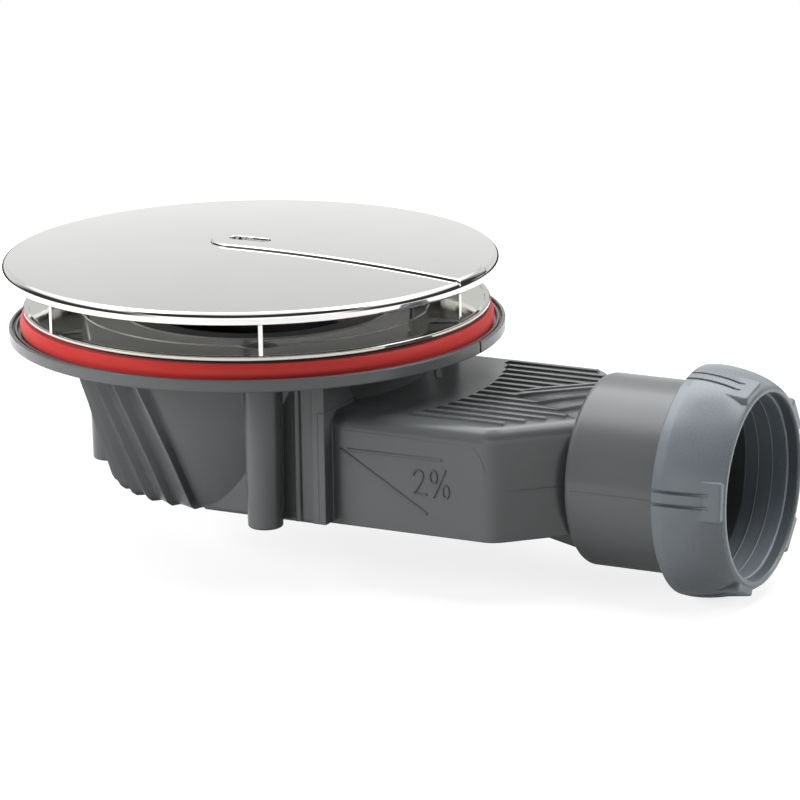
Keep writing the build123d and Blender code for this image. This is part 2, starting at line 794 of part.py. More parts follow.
# Thrust washer
with BuildPart() as thrust_washer:
    with BuildSketch(TUBE_PLANE):
        with BuildLine():
            Polyline(
                (ring_x0, ring_r_in),
                (ring_x0, ring_r_out),
                (ring_x1, ring_r_out),
                (ring_x1, ring_r_in + 0.3),
                (ring_x1 - 0.3, ring_r_in),
                (ring_x0, ring_r_in),
            )
        make_face()
    revolve(axis=TUBE_AXIS)
thrust_washer.part.label = "thrust_washer"
export_step(thrust_washer.part, "parts/thrust_washer.step")

# Cone seal
with BuildPart() as cone_seal:
    with BuildSketch(TUBE_PLANE):
        with BuildLine():
            Polyline(
                (cone_x0, socket_r + 0.05),
                (cone_x0, cone_r_small),
                (tube_x1, cone_r_big),
                (ring_x0, cone_r_big),
                (ring_x0, ring_r_in),
                (tube_x1 - 1.5, socket_r + 0.05),
                (cone_x0, socket_r + 0.05),
            )
        make_face()
    revolve(axis=TUBE_AXIS)
cone_seal.part.label = "cone_seal"
export_step(cone_seal.part, "parts/cone_seal.step")

# Dip tube
with BuildPart() as dip_tube:
    with BuildSketch(Plane.XZ):
        with BuildLine():
            Polyline(
                (dip_neck_r + 0.2, seat_z + dip_flange_thick),
                (dip_flange_r - 0.3, seat_z + dip_flange_thick),
                (dip_flange_r, seat_z + dip_flange_thick - 0.3),
                (dip_flange_r, seat_z),
                (dip_sleeve_r, seat_z),
                (dip_sleeve_r, o_ring_z + 0.55 * o_ring_d),
                (ring_groove_r, o_ring_z + 0.55 * o_ring_d),
                (ring_groove_r, o_ring_z - 0.55 * o_ring_d),
                (dip_sleeve_r, o_ring_z - 0.55 * o_ring_d),
                (dip_sleeve_r, spigot_low + 1.5),
                (dip_r_out, spigot_low - 4.0),
                (dip_r_out, dip_low),
                (dip_r_in, dip_low),
                (dip_r_in, spigot_low - 3.0),
                (dip_neck_r, spigot_low + 2.6),
                (dip_neck_r, seat_z + dip_flange_thick - 0.2),
                (dip_neck_r + 0.2, seat_z + dip_flange_thick),
            )
        make_face()
    revolve(axis=Axis.Z)
    with Locations((0, 0, spigot_low + 4.0)):
        Box(2 * dip_neck_r + 1.0, dip_bar, 2.5 * dip_bar, align=BOTTOM_UP)
dip_tube.part.label = "dip_tube"
export_step(dip_tube.part, "parts/dip_tube.step")

# Sealing ring of the dip tube
with BuildPart() as insert_o_ring:
    with Locations((0, 0, o_ring_z)):
        Torus(ring_groove_r + o_ring_d / 2, o_ring_d / 2)
insert_o_ring.part.label = "insert_o_ring"
export_step(insert_o_ring.part, "parts/insert_o_ring.step")
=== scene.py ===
"""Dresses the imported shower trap: finishes, moulded marks, studio and camera.

The scene is in metres in the row frame: Z up along the waste axis, X toward the outlet. The part's sizes below
are written in millimetres, which MM turns to metres.
"""

import logging
import math
from dataclasses import dataclass, field
from enum import Enum
from typing import Any, Sequence

import bpy
from mathutils import Matrix, Vector


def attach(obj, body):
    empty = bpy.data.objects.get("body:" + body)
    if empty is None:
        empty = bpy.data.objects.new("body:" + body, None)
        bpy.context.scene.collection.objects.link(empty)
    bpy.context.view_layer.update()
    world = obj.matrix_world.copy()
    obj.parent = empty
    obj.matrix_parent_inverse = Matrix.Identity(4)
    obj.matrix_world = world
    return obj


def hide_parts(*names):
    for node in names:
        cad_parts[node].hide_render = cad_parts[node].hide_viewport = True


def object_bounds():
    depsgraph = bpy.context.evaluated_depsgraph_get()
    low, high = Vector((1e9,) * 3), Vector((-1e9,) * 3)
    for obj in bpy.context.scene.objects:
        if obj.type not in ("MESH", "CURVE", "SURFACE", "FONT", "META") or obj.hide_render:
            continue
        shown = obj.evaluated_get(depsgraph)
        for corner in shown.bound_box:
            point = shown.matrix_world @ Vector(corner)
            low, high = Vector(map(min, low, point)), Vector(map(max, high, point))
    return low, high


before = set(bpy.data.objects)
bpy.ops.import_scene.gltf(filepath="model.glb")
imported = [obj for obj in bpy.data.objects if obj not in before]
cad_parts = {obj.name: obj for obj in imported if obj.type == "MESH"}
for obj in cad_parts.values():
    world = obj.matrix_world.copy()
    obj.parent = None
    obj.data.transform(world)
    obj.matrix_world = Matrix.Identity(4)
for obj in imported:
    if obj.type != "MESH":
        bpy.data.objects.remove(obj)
CAD_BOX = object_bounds()

MM = 0.001
LOG = logging.getLogger("shower_trap")

Point2 = tuple[float, float]
Point3 = tuple[float, float, float]
Colour = tuple[float, float, float, float]
Line = tuple[Point2, ...]
Spot = tuple[Point3, Point3]

COVER_CENTRE: Point2 = (-1.07, -0.58)
SOCKET_Z = -26.15


class Body(Enum):
    """Bodies of the part that added pieces ride on."""

    TRAP = "trap"


class Side(Enum):
    """Sides of the duct, as signs along Y."""

    FRONT = -1
    BACK = 1


class Ray(Enum):
    """Kinds of ray that the floor and the world tell apart."""

    CAMERA = "Is Camera Ray"
    GLOSSY = "Is Glossy Ray"
    TRANSMISSION = "Is Transmission Ray"


class Toward(Enum):
    """Directions from the part in which a piece of the reflected room sets in."""

    FRONT = "front"
    SIDES = "sides"


def srgb(code: str) -> Colour:
    """Turns an sRGB hex colour to linear.

    Args:
        code: Six hex digits, with or without a leading hash.

    Returns:
        The linear colour with an alpha of 1.
    """
    digits = code.lstrip("#")
    channels = [int(digits[i : i + 2], 16) / 255 for i in (0, 2, 4)]
    linear = [c / 12.92 if c <= 0.04045 else ((c + 0.055) / 1.055) ** 2.4 for c in channels]
    return (linear[0], linear[1], linear[2], 1.0)


def grey(value: float) -> Colour:
    """Linear grey."""
    return (value, value, value, 1.0)


def per_mm(size: float) -> float:
    """Texture scale, per metre, of a pattern whose features measure the given millimetres."""
    return 1.0 / (size * MM)


def new_material(name: str) -> tuple[bpy.types.Material, bpy.types.NodeTree]:
    """Starts a node material.

    Args:
        name: Name of the material.

    Returns:
        The material and its empty node tree.
    """
    made = bpy.data.materials.new(name)
    made.use_nodes = True
    made.node_tree.nodes.clear()
    return made, made.node_tree


def add_node(
    tree: bpy.types.NodeTree, kind: str, inputs: dict[Any, Any] | None = None, **settings: Any
) -> bpy.types.Node:
    """Adds a node, sets its options, and fills or links its inputs.

    Args:
        tree: Node tree that gets the node.
        kind: Blender's name of the node type.
        inputs: Values or output sockets by the input's name or index.
        settings: Options of the node.

    Returns:
        The new node.
    """
    node = tree.nodes.new(kind)
    for name, value in settings.items():
        setattr(node, name, value)
    for name, value in (inputs or {}).items():
        if isinstance(value, bpy.types.NodeSocket):
            tree.links.new(value, node.inputs[name])
        else:
            node.inputs[name].default_value = value
    return node


def set_ramp(node: bpy.types.Node, stops: Line) -> None:
    """Fills a colour ramp with greys.

    Args:
        node: Colour ramp node.
        stops: Positions and brightnesses, in rising order, two at least.
    """
    ramp = node.color_ramp
    while len(ramp.elements) < len(stops):
        ramp.elements.new(1.0)
    for element, (position, value) in zip(ramp.elements, stops):
        element.position = position
        element.color = grey(value)


def any_ray(tree: bpy.types.NodeTree, *kinds: Ray) -> bpy.types.NodeSocket:
    """Tells rays of the given kinds from the rest.

    Args:
        tree: Node tree of the floor or the world.
        kinds: Kinds of ray.

    Returns:
        Socket that is 1 for those rays and 0 for the rest.
    """
    path = add_node(tree, "ShaderNodeLightPath")
    found = path.outputs[kinds[0].value]
    for kind in kinds[1:]:
        found = add_node(
            tree, "ShaderNodeMath", {0: found, 1: path.outputs[kind.value]}, operation="MAXIMUM"
        ).outputs["Value"]
    return found


@dataclass(frozen=True)
class PlatedChrome:
    """Bright chrome plate on a smooth skin.

    The plate follows the skin under it, so reflections are sharp but a little wavy, with a faint polishing
    haze. Plating hardly reaches the hollow underside of a shallow dome, which stays dull; its dark colour is
    painted shade for the little light that gets into the hollow.
    """

    name: str
    slot: str = "chrome_plate"
    tint: str = "#E2E2E0"
    haze_tint: str = "#DADAD8"
    # Painted shade: the dark tint of the hollow underside stands in for the little light that reaches it; the
    # hollow is also unplated
    dull_and_shade_tint: str = "#17181A"
    roughness: float = 0.045
    haze_spread: float = 0.4
    dull_roughness: float = 0.45
    haze_mm: float = 14.0
    wave_mm: float = 22.0
    wave_depth_mm: float = 0.006
    edge_mm: float = 0.0
    hollow_centre: Point2 = (0.0, 0.0)
    hollow_r: float = 0.0
    hollow_facing: float = -0.5

    def material(self) -> bpy.types.Material:
        """Builds the node material.

        Returns:
            The new material.
        """
        made, tree = new_material(self.name)
        place = add_node(tree, "ShaderNodeTexCoord").outputs["Object"]
        haze = add_node(
            tree, "ShaderNodeTexNoise", {"Vector": place, "Scale": per_mm(self.haze_mm), "Detail": 4.0}
        )
        tone = add_node(
            tree,
            "ShaderNodeMix",
            {"Factor": haze.outputs["Fac"], "A": srgb(self.tint), "B": srgb(self.haze_tint)},
            data_type="RGBA",
        )
        gloss = add_node(
            tree,
            "ShaderNodeMapRange",
            {
                "Value": haze.outputs["Fac"],
                "To Min": (1 - self.haze_spread) * self.roughness,
                "To Max": (1 + self.haze_spread) * self.roughness,
            },
        )
        wave = add_node(
            tree, "ShaderNodeTexNoise", {"Vector": place, "Scale": per_mm(self.wave_mm), "Detail": 0.0}
        )
        skin = add_node(
            tree, "ShaderNodeBump", {"Height": wave.outputs["Fac"], "Distance": self.wave_depth_mm * MM}
        )
        if self.edge_mm:
            edge = add_node(tree, "ShaderNodeBevel", {"Radius": self.edge_mm * MM}, samples=8)
            tree.links.new(edge.outputs["Normal"], skin.inputs["Normal"])
        shader = add_node(
            tree,
            "ShaderNodeBsdfPrincipled",
            {
                "Base Color": tone.outputs["Result"],
                "Metallic": 1.0,
                "Roughness": gloss.outputs["Result"],
                "Normal": skin.outputs["Normal"],
            },
        )
        if self.hollow_r:
            self.dull_and_shade_hollow(tree, place, tone.outputs["Result"], gloss.outputs["Result"], shader)
        add_node(tree, "ShaderNodeOutputMaterial", {"Surface": shader.outputs["BSDF"]})
        return made

    def dull_and_shade_hollow(
        self,
        tree: bpy.types.NodeTree,
        place: bpy.types.NodeSocket,
        tone: bpy.types.NodeSocket,
        gloss: bpy.types.NodeSocket,
        shader: bpy.types.Node,
    ) -> None:
        """Leaves the underside within the rim unplated and paints it dark as shade.

        Args:
            tree: Node tree of the material.
            place: Point on the surface.
            tone: Colour of the plate.
            gloss: Roughness of the plate.
            shader: Shader that gets the mixed values.
        """
        flat = add_node(tree, "ShaderNodeVectorMath", {0: place, 1: (1.0, 1.0, 0.0)}, operation="MULTIPLY")
        centre = (self.hollow_centre[0] * MM, self.hollow_centre[1] * MM, 0.0)
        reach = add_node(
            tree, "ShaderNodeVectorMath", {0: flat.outputs["Vector"], 1: centre}, operation="DISTANCE"
        )
        within = add_node(
            tree, "ShaderNodeMath", {0: reach.outputs["Value"], 1: self.hollow_r * MM}, operation="LESS_THAN"
        )
        normal = add_node(tree, "ShaderNodeNewGeometry").outputs["Normal"]
        facing = add_node(tree, "ShaderNodeSeparateXYZ", {0: normal})
        down = add_node(
            tree, "ShaderNodeMath", {0: facing.outputs["Z"], 1: self.hollow_facing}, operation="LESS_THAN"
        )
        bare_and_shaded = add_node(
            tree,
            "ShaderNodeMath",
            {0: within.outputs["Value"], 1: down.outputs["Value"]},
            operation="MULTIPLY",
        ).outputs["Value"]
        plated = add_node(tree, "ShaderNodeMath", {0: 1.0, 1: bare_and_shaded}, operation="SUBTRACT")
        # Painted shade: the hollow underside gets the dark tint as well as the dull unplated finish
        colour = add_node(
            tree, "ShaderNodeMix", {"Factor": bare_and_shaded, "A": tone, "B": srgb(self.dull_and_shade_tint)}, data_type="RGBA"
        )
        rough = add_node(tree, "ShaderNodeMix", {"Factor": bare_and_shaded, "A": gloss, "B": self.dull_roughness})
        tree.links.new(plated.outputs["Value"], shader.inputs["Metallic"])
        tree.links.new(colour.outputs["Result"], shader.inputs["Base Color"])
        tree.links.new(rough.outputs["Result"], shader.inputs["Roughness"])


@dataclass(frozen=True)
class MouldedPlastic:
    """Injection-moulded polyolefin.

    A spark-eroded tool leaves a satin grain of about 0.05 mm; it is drawn coarser so that it shows in a
    render. Slow flow streaks shift the grey a little, and every edge has a small moulded radius that catches
    the light.
    """

    name: str
    slot: str
    tint: str
    flow_tint: str
    roughness: float
    gloss_swing: float = 0.05
    grain_mm: float = 0.3
    grain_depth_mm: float = 0.012
    flow_mm: float = 26.0
    edge_mm: float = 0.3
    ior: float = 1.49
    subsurface: float = 0.0
    scatter_mm: float = 1.5

    def material(self) -> bpy.types.Material:
        """Builds the node material.

        Returns:
            The new material.
        """
        made, tree = new_material(self.name)
        place = add_node(tree, "ShaderNodeTexCoord").outputs["Object"]
        flow = add_node(
            tree,
            "ShaderNodeTexNoise",
            {"Vector": place, "Scale": per_mm(self.flow_mm), "Detail": 3.0, "Distortion": 0.6},
        )
        grain = add_node(
            tree, "ShaderNodeTexNoise", {"Vector": place, "Scale": per_mm(self.grain_mm), "Detail": 2.0}
        )
        mottle = add_node(
            tree, "ShaderNodeMix", {"Factor": 0.5, "A": flow.outputs["Fac"], "B": grain.outputs["Fac"]}
        )
        tone = add_node(
            tree,
            "ShaderNodeMix",
            {"Factor": mottle.outputs["Result"], "A": srgb(self.tint), "B": srgb(self.flow_tint)},
            data_type="RGBA",
        )
        gloss = add_node(
            tree,
            "ShaderNodeMapRange",
            {
                "Value": mottle.outputs["Result"],
                "To Min": self.roughness - self.gloss_swing,
                "To Max": self.roughness + self.gloss_swing,
            },
        )
        edge = add_node(tree, "ShaderNodeBevel", {"Radius": self.edge_mm * MM}, samples=4)
        skin = add_node(
            tree,
            "ShaderNodeBump",
            {
                "Height": grain.outputs["Fac"],
                "Distance": self.grain_depth_mm * MM,
                "Normal": edge.outputs["Normal"],
            },
        )
        shader = add_node(
            tree,
            "ShaderNodeBsdfPrincipled",
            {
                "Base Color": tone.outputs["Result"],
                "Roughness": gloss.outputs["Result"],
                "IOR": self.ior,
                "Subsurface Weight": self.subsurface,
                "Subsurface Scale": self.scatter_mm * MM,
                "Normal": skin.outputs["Normal"],
            },
        )
        add_node(tree, "ShaderNodeOutputMaterial", {"Surface": shader.outputs["BSDF"]})
        return made


@dataclass(frozen=True)
class PaintedEdgeHighlight(MouldedPlastic):
    """Painted highlight on the rolled edges of the plated dish.

    The light that the rounded chrome edges would catch is painted as a pale satin coat, so that the line stays
    pale from every side; it is not drawn as a mirror.
    """


@dataclass(frozen=True)
class MouldedRubber:
    """Compression-moulded rubber.

    A blasted mould gives a soft matt skin with a fine bloom; grain near 0.08 mm is drawn coarser so that it
    shows.
    """

    name: str
    slot: str
    tint: str
    bloom_tint: str
    roughness: float = 0.5
    ior: float = 1.52
    sheen: float = 0.08
    sheen_roughness: float = 0.6
    grain_mm: float = 0.45
    grain_depth_mm: float = 0.02
    bloom_mm: float = 9.0

    def material(self) -> bpy.types.Material:
        """Builds the node material.

        Returns:
            The new material.
        """
        made, tree = new_material(self.name)
        place = add_node(tree, "ShaderNodeTexCoord").outputs["Object"]
        bloom = add_node(
            tree, "ShaderNodeTexNoise", {"Vector": place, "Scale": per_mm(self.bloom_mm), "Detail": 5.0}
        )
        grain = add_node(
            tree, "ShaderNodeTexNoise", {"Vector": place, "Scale": per_mm(self.grain_mm), "Detail": 2.0}
        )
        tone = add_node(
            tree,
            "ShaderNodeMix",
            {"Factor": bloom.outputs["Fac"], "A": srgb(self.tint), "B": srgb(self.bloom_tint)},
            data_type="RGBA",
        )
        skin = add_node(
            tree, "ShaderNodeBump", {"Height": grain.outputs["Fac"], "Distance": self.grain_depth_mm * MM}
        )
        shader = add_node(
            tree,
            "ShaderNodeBsdfPrincipled",
            {
                "Base Color": tone.outputs["Result"],
                "Roughness": self.roughness,
                "IOR": self.ior,
                "Sheen Weight": self.sheen,
                "Sheen Roughness": self.sheen_roughness,
                "Normal": skin.outputs["Normal"],
            },
        )
        add_node(tree, "ShaderNodeOutputMaterial", {"Surface": shader.outputs["BSDF"]})
        return made


@dataclass(frozen=True)
class ColdHeadedSteel:
    """Stainless steel screw, cold-headed and tumbled: dull grey metal with fine scuffs."""

    name: str = "stainless_steel_tumbled"
    slot: str = "stainless_steel"
    tint: str = "#A9AAAB"
    scuff_tint: str = "#8E8F90"
    roughness: float = 0.32
    gloss_swing: float = 0.1
    scuff_mm: float = 0.5
    scuff_depth_mm: float = 0.02

    def material(self) -> bpy.types.Material:
        """Builds the node material.

        Returns:
            The new material.
        """
        made, tree = new_material(self.name)
        place = add_node(tree, "ShaderNodeTexCoord").outputs["Object"]
        scuff = add_node(
            tree, "ShaderNodeTexNoise", {"Vector": place, "Scale": per_mm(self.scuff_mm), "Detail": 6.0}
        )
        tone = add_node(
            tree,
            "ShaderNodeMix",
            {"Factor": scuff.outputs["Fac"], "A": srgb(self.tint), "B": srgb(self.scuff_tint)},
            data_type="RGBA",
        )
        gloss = add_node(
            tree,
            "ShaderNodeMapRange",
            {
                "Value": scuff.outputs["Fac"],
                "To Min": self.roughness - self.gloss_swing,
                "To Max": self.roughness + self.gloss_swing,
            },
        )
        skin = add_node(
            tree, "ShaderNodeBump", {"Height": scuff.outputs["Fac"], "Distance": self.scuff_depth_mm * MM}
        )
        shader = add_node(
            tree,
            "ShaderNodeBsdfPrincipled",
            {
                "Base Color": tone.outputs["Result"],
                "Metallic": 1.0,
                "Roughness": gloss.outputs["Result"],
                "Normal": skin.outputs["Normal"],
            },
        )
        add_node(tree, "ShaderNodeOutputMaterial", {"Surface": shader.outputs["BSDF"]})
        return made


Finish = PlatedChrome | MouldedPlastic | MouldedRubber | ColdHeadedSteel

# Dish: a darker, warmer mirror than the cover, with edges that catch the light
DISH_CHROME = PlatedChrome(
    "chrome_plate_on_pressed_dish", tint="#BDBCB5", haze_tint="#B4B3AC", edge_mm=0.3
)
# Cover: a clear neutral mirror above; below, the hollow is dull and unplated, and dark from painted shade
COVER_CHROME = PlatedChrome(
    "chrome_plate_on_moulded_abs_dome", hollow_centre=COVER_CENTRE, hollow_r=55.3
)
# Bowl and duct: satin mid grey with wide soft highlights
BODY_GREY = MouldedPlastic("polypropylene_satin_grey", "grey_plastic", "#585A5B", "#535556", 0.25, edge_mm=0.5)
# Nut: paler and bluer than the body, with soft bright edges on its lugs
NUT_GREY = MouldedPlastic(
    "polypropylene_smooth_blue_grey", "nut_plastic", "#6C7277", "#686E73", 0.28, edge_mm=0.45
)
# Slip ring: pale and slightly translucent, so that its thin edge glows a little
SLIP_CLEAR = MouldedPlastic(
    "polyethylene_translucent", "slip_plastic", "#8A929A", "#7F878F", 0.28, edge_mm=0.2, subsurface=0.35
)
# Insert: dark satin plastic that stays quiet inside the dish
INSERT_GREY = MouldedPlastic("polypropylene_satin_dark", "insert_plastic", "#3B3E40", "#353839", 0.42)
# Seals: a strong matt red, a smoother grey, and a dull black
SEAL_RED = MouldedRubber("silicone_rubber_red", "red_rubber", "#BE2E29", "#B32A27")
SEAL_GREY = MouldedRubber("soft_elastomer_grey", "grey_rubber", "#838A90", "#7B8288", roughness=0.36)
SEAL_BLACK = MouldedRubber("nitrile_rubber_black", "black_rubber", "#1D1D1F", "#252527", roughness=0.6)
STEEL = ColdHeadedSteel()
# Dish edges: painted highlight, thin pale lines in the dark dish where the rolled edges would catch the light
EDGE_HIGHLIGHT_PAINTED = PaintedEdgeHighlight("chrome_edge_painted_highlight", "chrome_plate", "#CFCFCA", "#C2C2BD", 0.3, edge_mm=0.05)


def dress(node: str, finish: Finish, material: bpy.types.Material) -> None:
    """Puts a finish on a CAD node.

    Args:
        node: Name of the CAD node.
        finish: Finish that names the record's slot.
        material: The finish's built material.
    """
    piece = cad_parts[node]
    piece.data.materials.clear()
    piece.data.materials.append(material)
    LOG.info("dressed %s in %s", node, finish.name)


def add_mesh(
    name: str,
    points: Sequence[Point3],
    faces: Sequence[Sequence[int]],
    finish: Finish,
    material: bpy.types.Material,
    normals: Sequence[Point3] | None = None,
) -> bpy.types.Object:
    """Adds a mesh piece given in millimetres.

    Args:
        name: Name of the piece.
        points: Corner points in millimetres.
        faces: Corner indices of each face.
        finish: Finish that names the record's slot.
        material: The finish's built material.
        normals: Normal at each point of a smooth piece; without them its faces are flat.

    Returns:
        The new object.
    """
    mesh = bpy.data.meshes.new(name)
    mesh.from_pydata([[c * MM for c in p] for p in points], [], [list(f) for f in faces])
    mesh.materials.append(material)
    if normals:
        mesh.shade_smooth()
        mesh.normals_split_custom_set_from_vertices(normals)
    mesh.update()
    made = bpy.data.objects.new(name, mesh)
    bpy.context.scene.collection.objects.link(made)
    LOG.info("added %s in %s", name, finish.name)
    return made


# A raised stroke's cross-section: shares of its width across, and of its height
STROKE_SECTION: Line = ((-0.5, 0.0), (-0.32, 1.0), (0.32, 1.0), (0.5, 0.0))


def ribbon(
    line: Sequence[Point2], wide: float, high: float, closed: bool = False
) -> tuple[list[Point3], list[list[int]]]:
    """Raised stroke with sloping sides along a flat line.

    Args:
        line: Centreline as (across, up) pairs.
        wide: Width at the foot.
        high: Height of the stroke.
        closed: Whether the line closes on itself.

    Returns:
        Points as (across, height, up) and faces.
    """
    if not closed:
        first, last = Vector(line[0]), Vector(line[-1])
        lead = (first - Vector(line[1])).normalized() * high
        tail = (last - Vector(line[-2])).normalized() * high
        line = [tuple(first + lead), *line, tuple(last + tail)]
    count, across = len(line), len(STROKE_SECTION)
    points: list[Point3] = []
    for i, here in enumerate(line):
        before = line[i - 1] if i or closed else here
        after = line[(i + 1) % count] if i < count - 1 or closed else here
        along = (Vector(after) - Vector(before)).normalized()
        side = Vector((-along.y, along.x))
        foot = not closed and i in (0, count - 1)
        for offset, height in STROKE_SECTION:
            spot = Vector(here) + side * (offset * wide)
            points.append((spot.x, 0.0 if foot else height * high, spot.y))
    faces: list[list[int]] = []
    for i in range(count if closed else count - 1):
        a, b = across * i, across * ((i + 1) % count)
        faces.extend([[a + k, b + k, b + k + 1, a + k + 1] for k in range(across - 1)])
    return points, faces


@dataclass
class Skin:
    """Smooth mesh under construction: points, their normals and faces."""

    points: list[Point3] = field(default_factory=list)
    normals: list[Point3] = field(default_factory=list)
    faces: list[list[int]] = field(default_factory=list)

    def add_rows(self, rows: Sequence[Sequence[Spot]], closed: bool = True) -> None:
        """Joins rows of equal length by four-sided faces.

        Args:
            rows: Rows of points with normals; each next row lies to the left as seen from outside.
            closed: Whether each row closes on itself.
        """
        start, count = len(self.points), len(rows[0])
        for row in rows:
            self.points.extend(point for point, _ in row)
            self.normals.extend(normal for _, normal in row)
        for i in range(len(rows) - 1):
            a = start + i * count
            for k in range(count if closed else count - 1):
                k2 = (k + 1) % count
                self.faces.append([a + k, a + k2, a + count + k2, a + count + k])


# Steps along the cover's profile: fine ones, because mirror plate shows every facet
DOME_STEPS = 40
RIM_STEPS = 30
FOOT_STEPS = 16
UNDER_STEPS = 16
# Steps along and across the outlines of the cover's band and slot
SIDE_STEPS = 60
ARC_STEPS = 48
END_STEPS = 24
FILLET_STEPS = 12
BLEND_STEPS = 8
ROUND_STEPS = 10


@dataclass
class CoverSet:
    """Lift-off cover: a dome with a rounded rim, a raised band with a finger slot, and six fins below.

    Lengths u run along the band and v across it, from the cover's centre.
    """

    finish: PlatedChrome = COVER_CHROME
    centre: Point2 = COVER_CENTRE
    turn: float = 0.9
    cover_r: float = 57.5
    hub_r: float = 6.4
    pole_r: float = 0.02
    rim_top: float = 15.2
    rim_low: float = 12.4
    rim_wide: float = 2.1
    rim_round: float = 1.5
    rim_draft: float = 0.2
    foot_round: float = 0.7
    crown: float = 3.0
    shell: float = 2.2
    band_half: float = 7.2
    band_left: float = -9.5
    band_rise: float = 0.6
    band_back: float = 0.05
    band_round: float = 0.6
    band_lean: float = 70.0
    band_slope: float = 0.638
    band_foot: float = 0.02
    band_sunk: float = 0.5
    band_insets: tuple[float, ...] = (0.8, 1.0, 1.4, 2.0, 2.6, 3.2)
    slot_long: float = 10.4
    slot_wide: float = 3.2
    slot_deep: float = 1.2
    slot_round: float = 0.18
    slot_core: float = 0.01
    slot_floor: float = 1.55
    fin_count: int = 6
    fin_out: float = 53.6
    fin_in: float = 45.6
    fin_top_in: float = 42.2
    fin_low: float = 4.6
    fin_thick: float = 1.1
    fin_edge: float = 0.14

    def build(self) -> None:
        """Builds the cover in place of the CAD node, whose coarse rim facets would show in the plate."""
        skin = Skin()
        self.add_shell(skin)
        self.add_band(skin)
        for i in range(self.fin_count):
            self.add_fin(skin, self.turn + 360.0 / self.fin_count * i)
        piece = add_mesh(
            "cover_plate", skin.points, skin.faces, self.finish, self.finish.material(), normals=skin.normals
        )
        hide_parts("cover")
        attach(piece, Body.TRAP.value)

    def dome_z(self, r: float) -> float:
        """Height of the dome at a radius."""
        return self.rim_top + self.crown * (1 - (r / self.cover_r) ** 2)

    @property
    def dome_tilt(self) -> float:
        """Slope angle of the dome at its rim."""
        return math.atan(2 * self.crown / self.cover_r)

    @property
    def top_r(self) -> float:
        """Radius at which the rim's round begins."""
        return self.cover_r - self.rim_round * (1 - math.sin(self.dome_tilt))

    @property
    def wall_z(self) -> float:
        """Height at which the rim's round ends."""
        return self.dome_z(self.top_r) - self.rim_round * math.cos(self.dome_tilt)

    def place(self, u: float, v: float, z: float) -> Point3:
        """Point in the row frame."""
        c, s = math.cos(math.radians(self.turn)), math.sin(math.radians(self.turn))
        return (self.centre[0] + u * c - v * s, self.centre[1] + u * s + v * c, z)

    def lean(self, u: float, v: float, z: float) -> Point3:
        """Unit normal in the row frame."""
        c, s = math.cos(math.radians(self.turn)), math.sin(math.radians(self.turn))
        return tuple(Vector((u * c - v * s, u * s + v * c, z)).normalized())

    def add_shell(self, skin: Skin, count: int = 480) -> None:
        """Turned plate: dome outside the slot's hole, rim, and dull underside.

        Args:
            skin: Mesh that gets the plate.
            count: Corners round the plate.
        """
        spread = self.top_r - self.hub_r
        spans = [self.hub_r + spread * k / DOME_STEPS for k in range(DOME_STEPS + 1)]
        outer = [(r, self.dome_z(r)) for r in spans]
        for k in range(1, RIM_STEPS + 1):
            t = self.dome_tilt + (math.pi / 2 - self.dome_tilt) * k / RIM_STEPS
            r = self.cover_r - self.rim_round * (1 - math.sin(t))
            outer.append((r, self.wall_z + self.rim_round * math.cos(t)))
        for k in range(FOOT_STEPS + 1):
            t = math.pi / 2 * k / FOOT_STEPS
            r = self.cover_r - self.foot_round * (1 - math.cos(t))
            outer.append((r, self.rim_low + self.foot_round * (1 - math.sin(t))))
        inner_r = self.cover_r - self.rim_wide
        spans = [(inner_r - self.rim_draft) * (1 - k / UNDER_STEPS) for k in range(UNDER_STEPS)]
        under = [(r, self.dome_z(r) - self.shell) for r in (*spans, self.pole_r)]
        strips = [
            outer,
            [(self.cover_r - self.foot_round, self.rim_low), (inner_r, self.rim_low)],
            [(inner_r, self.rim_low), under[0]],
            under,
        ]
        for strip in strips:
            rows = []
            for i, (r, z) in enumerate(strip):
                before, after = strip[max(i - 1, 0)], strip[min(i + 1, len(strip) - 1)]
                out, up = -(after[1] - before[1]), after[0] - before[0]
                row = []
                for k in range(count):
                    a = -2 * math.pi * k / count
                    c, s = math.cos(a), math.sin(a)
                    row.append((self.place(r * c, r * s, z), self.lean(out * c, out * s, up)))
                rows.append(row)
            skin.add_rows(rows)

    def band_spot(self, u: float, v: float, sunk: float = 0.0) -> Spot:
        """Point and normal of the band's top, which falls off in a round at its sides and at the rim.

        Args:
            u: Place along the band.
            v: Place across the band.
            sunk: Depth below the top.

        Returns:
            The point and its normal.
        """
        r = math.hypot(u, v)
        end_r = self.cover_r - self.band_back - self.rim_round
        if r < self.top_r - self.band_back:
            tilt, z = math.atan(2 * self.crown * r / self.cover_r**2), self.dome_z(r) + self.band_rise
        else:
            tilt = math.asin(min((r - end_r) / self.rim_round, 1.0))
            z = self.wall_z + self.band_rise + self.rim_round * math.cos(tilt)
        mid = self.band_left + self.band_half
        side = Vector((min(u - mid, 0.0), v, 0.0))
        lean = math.radians(self.band_lean)
        over = max(side.length - self.band_half + self.band_slope, 0.0)
        fall = min(over / self.band_round, math.sin(lean))
        z -= self.band_round * (1 - math.sqrt(1 - fall**2))
        z -= (over - fall * self.band_round) * math.tan(lean)
        up = Vector((u, v, 0.0)) * (math.sin(tilt) / max(r, 1e-6)) + Vector((0.0, 0.0, math.cos(tilt)))
        normal = up * math.sqrt(1 - fall**2) + side.normalized() * fall
        return self.place(u, v, z - sunk), self.lean(*normal)

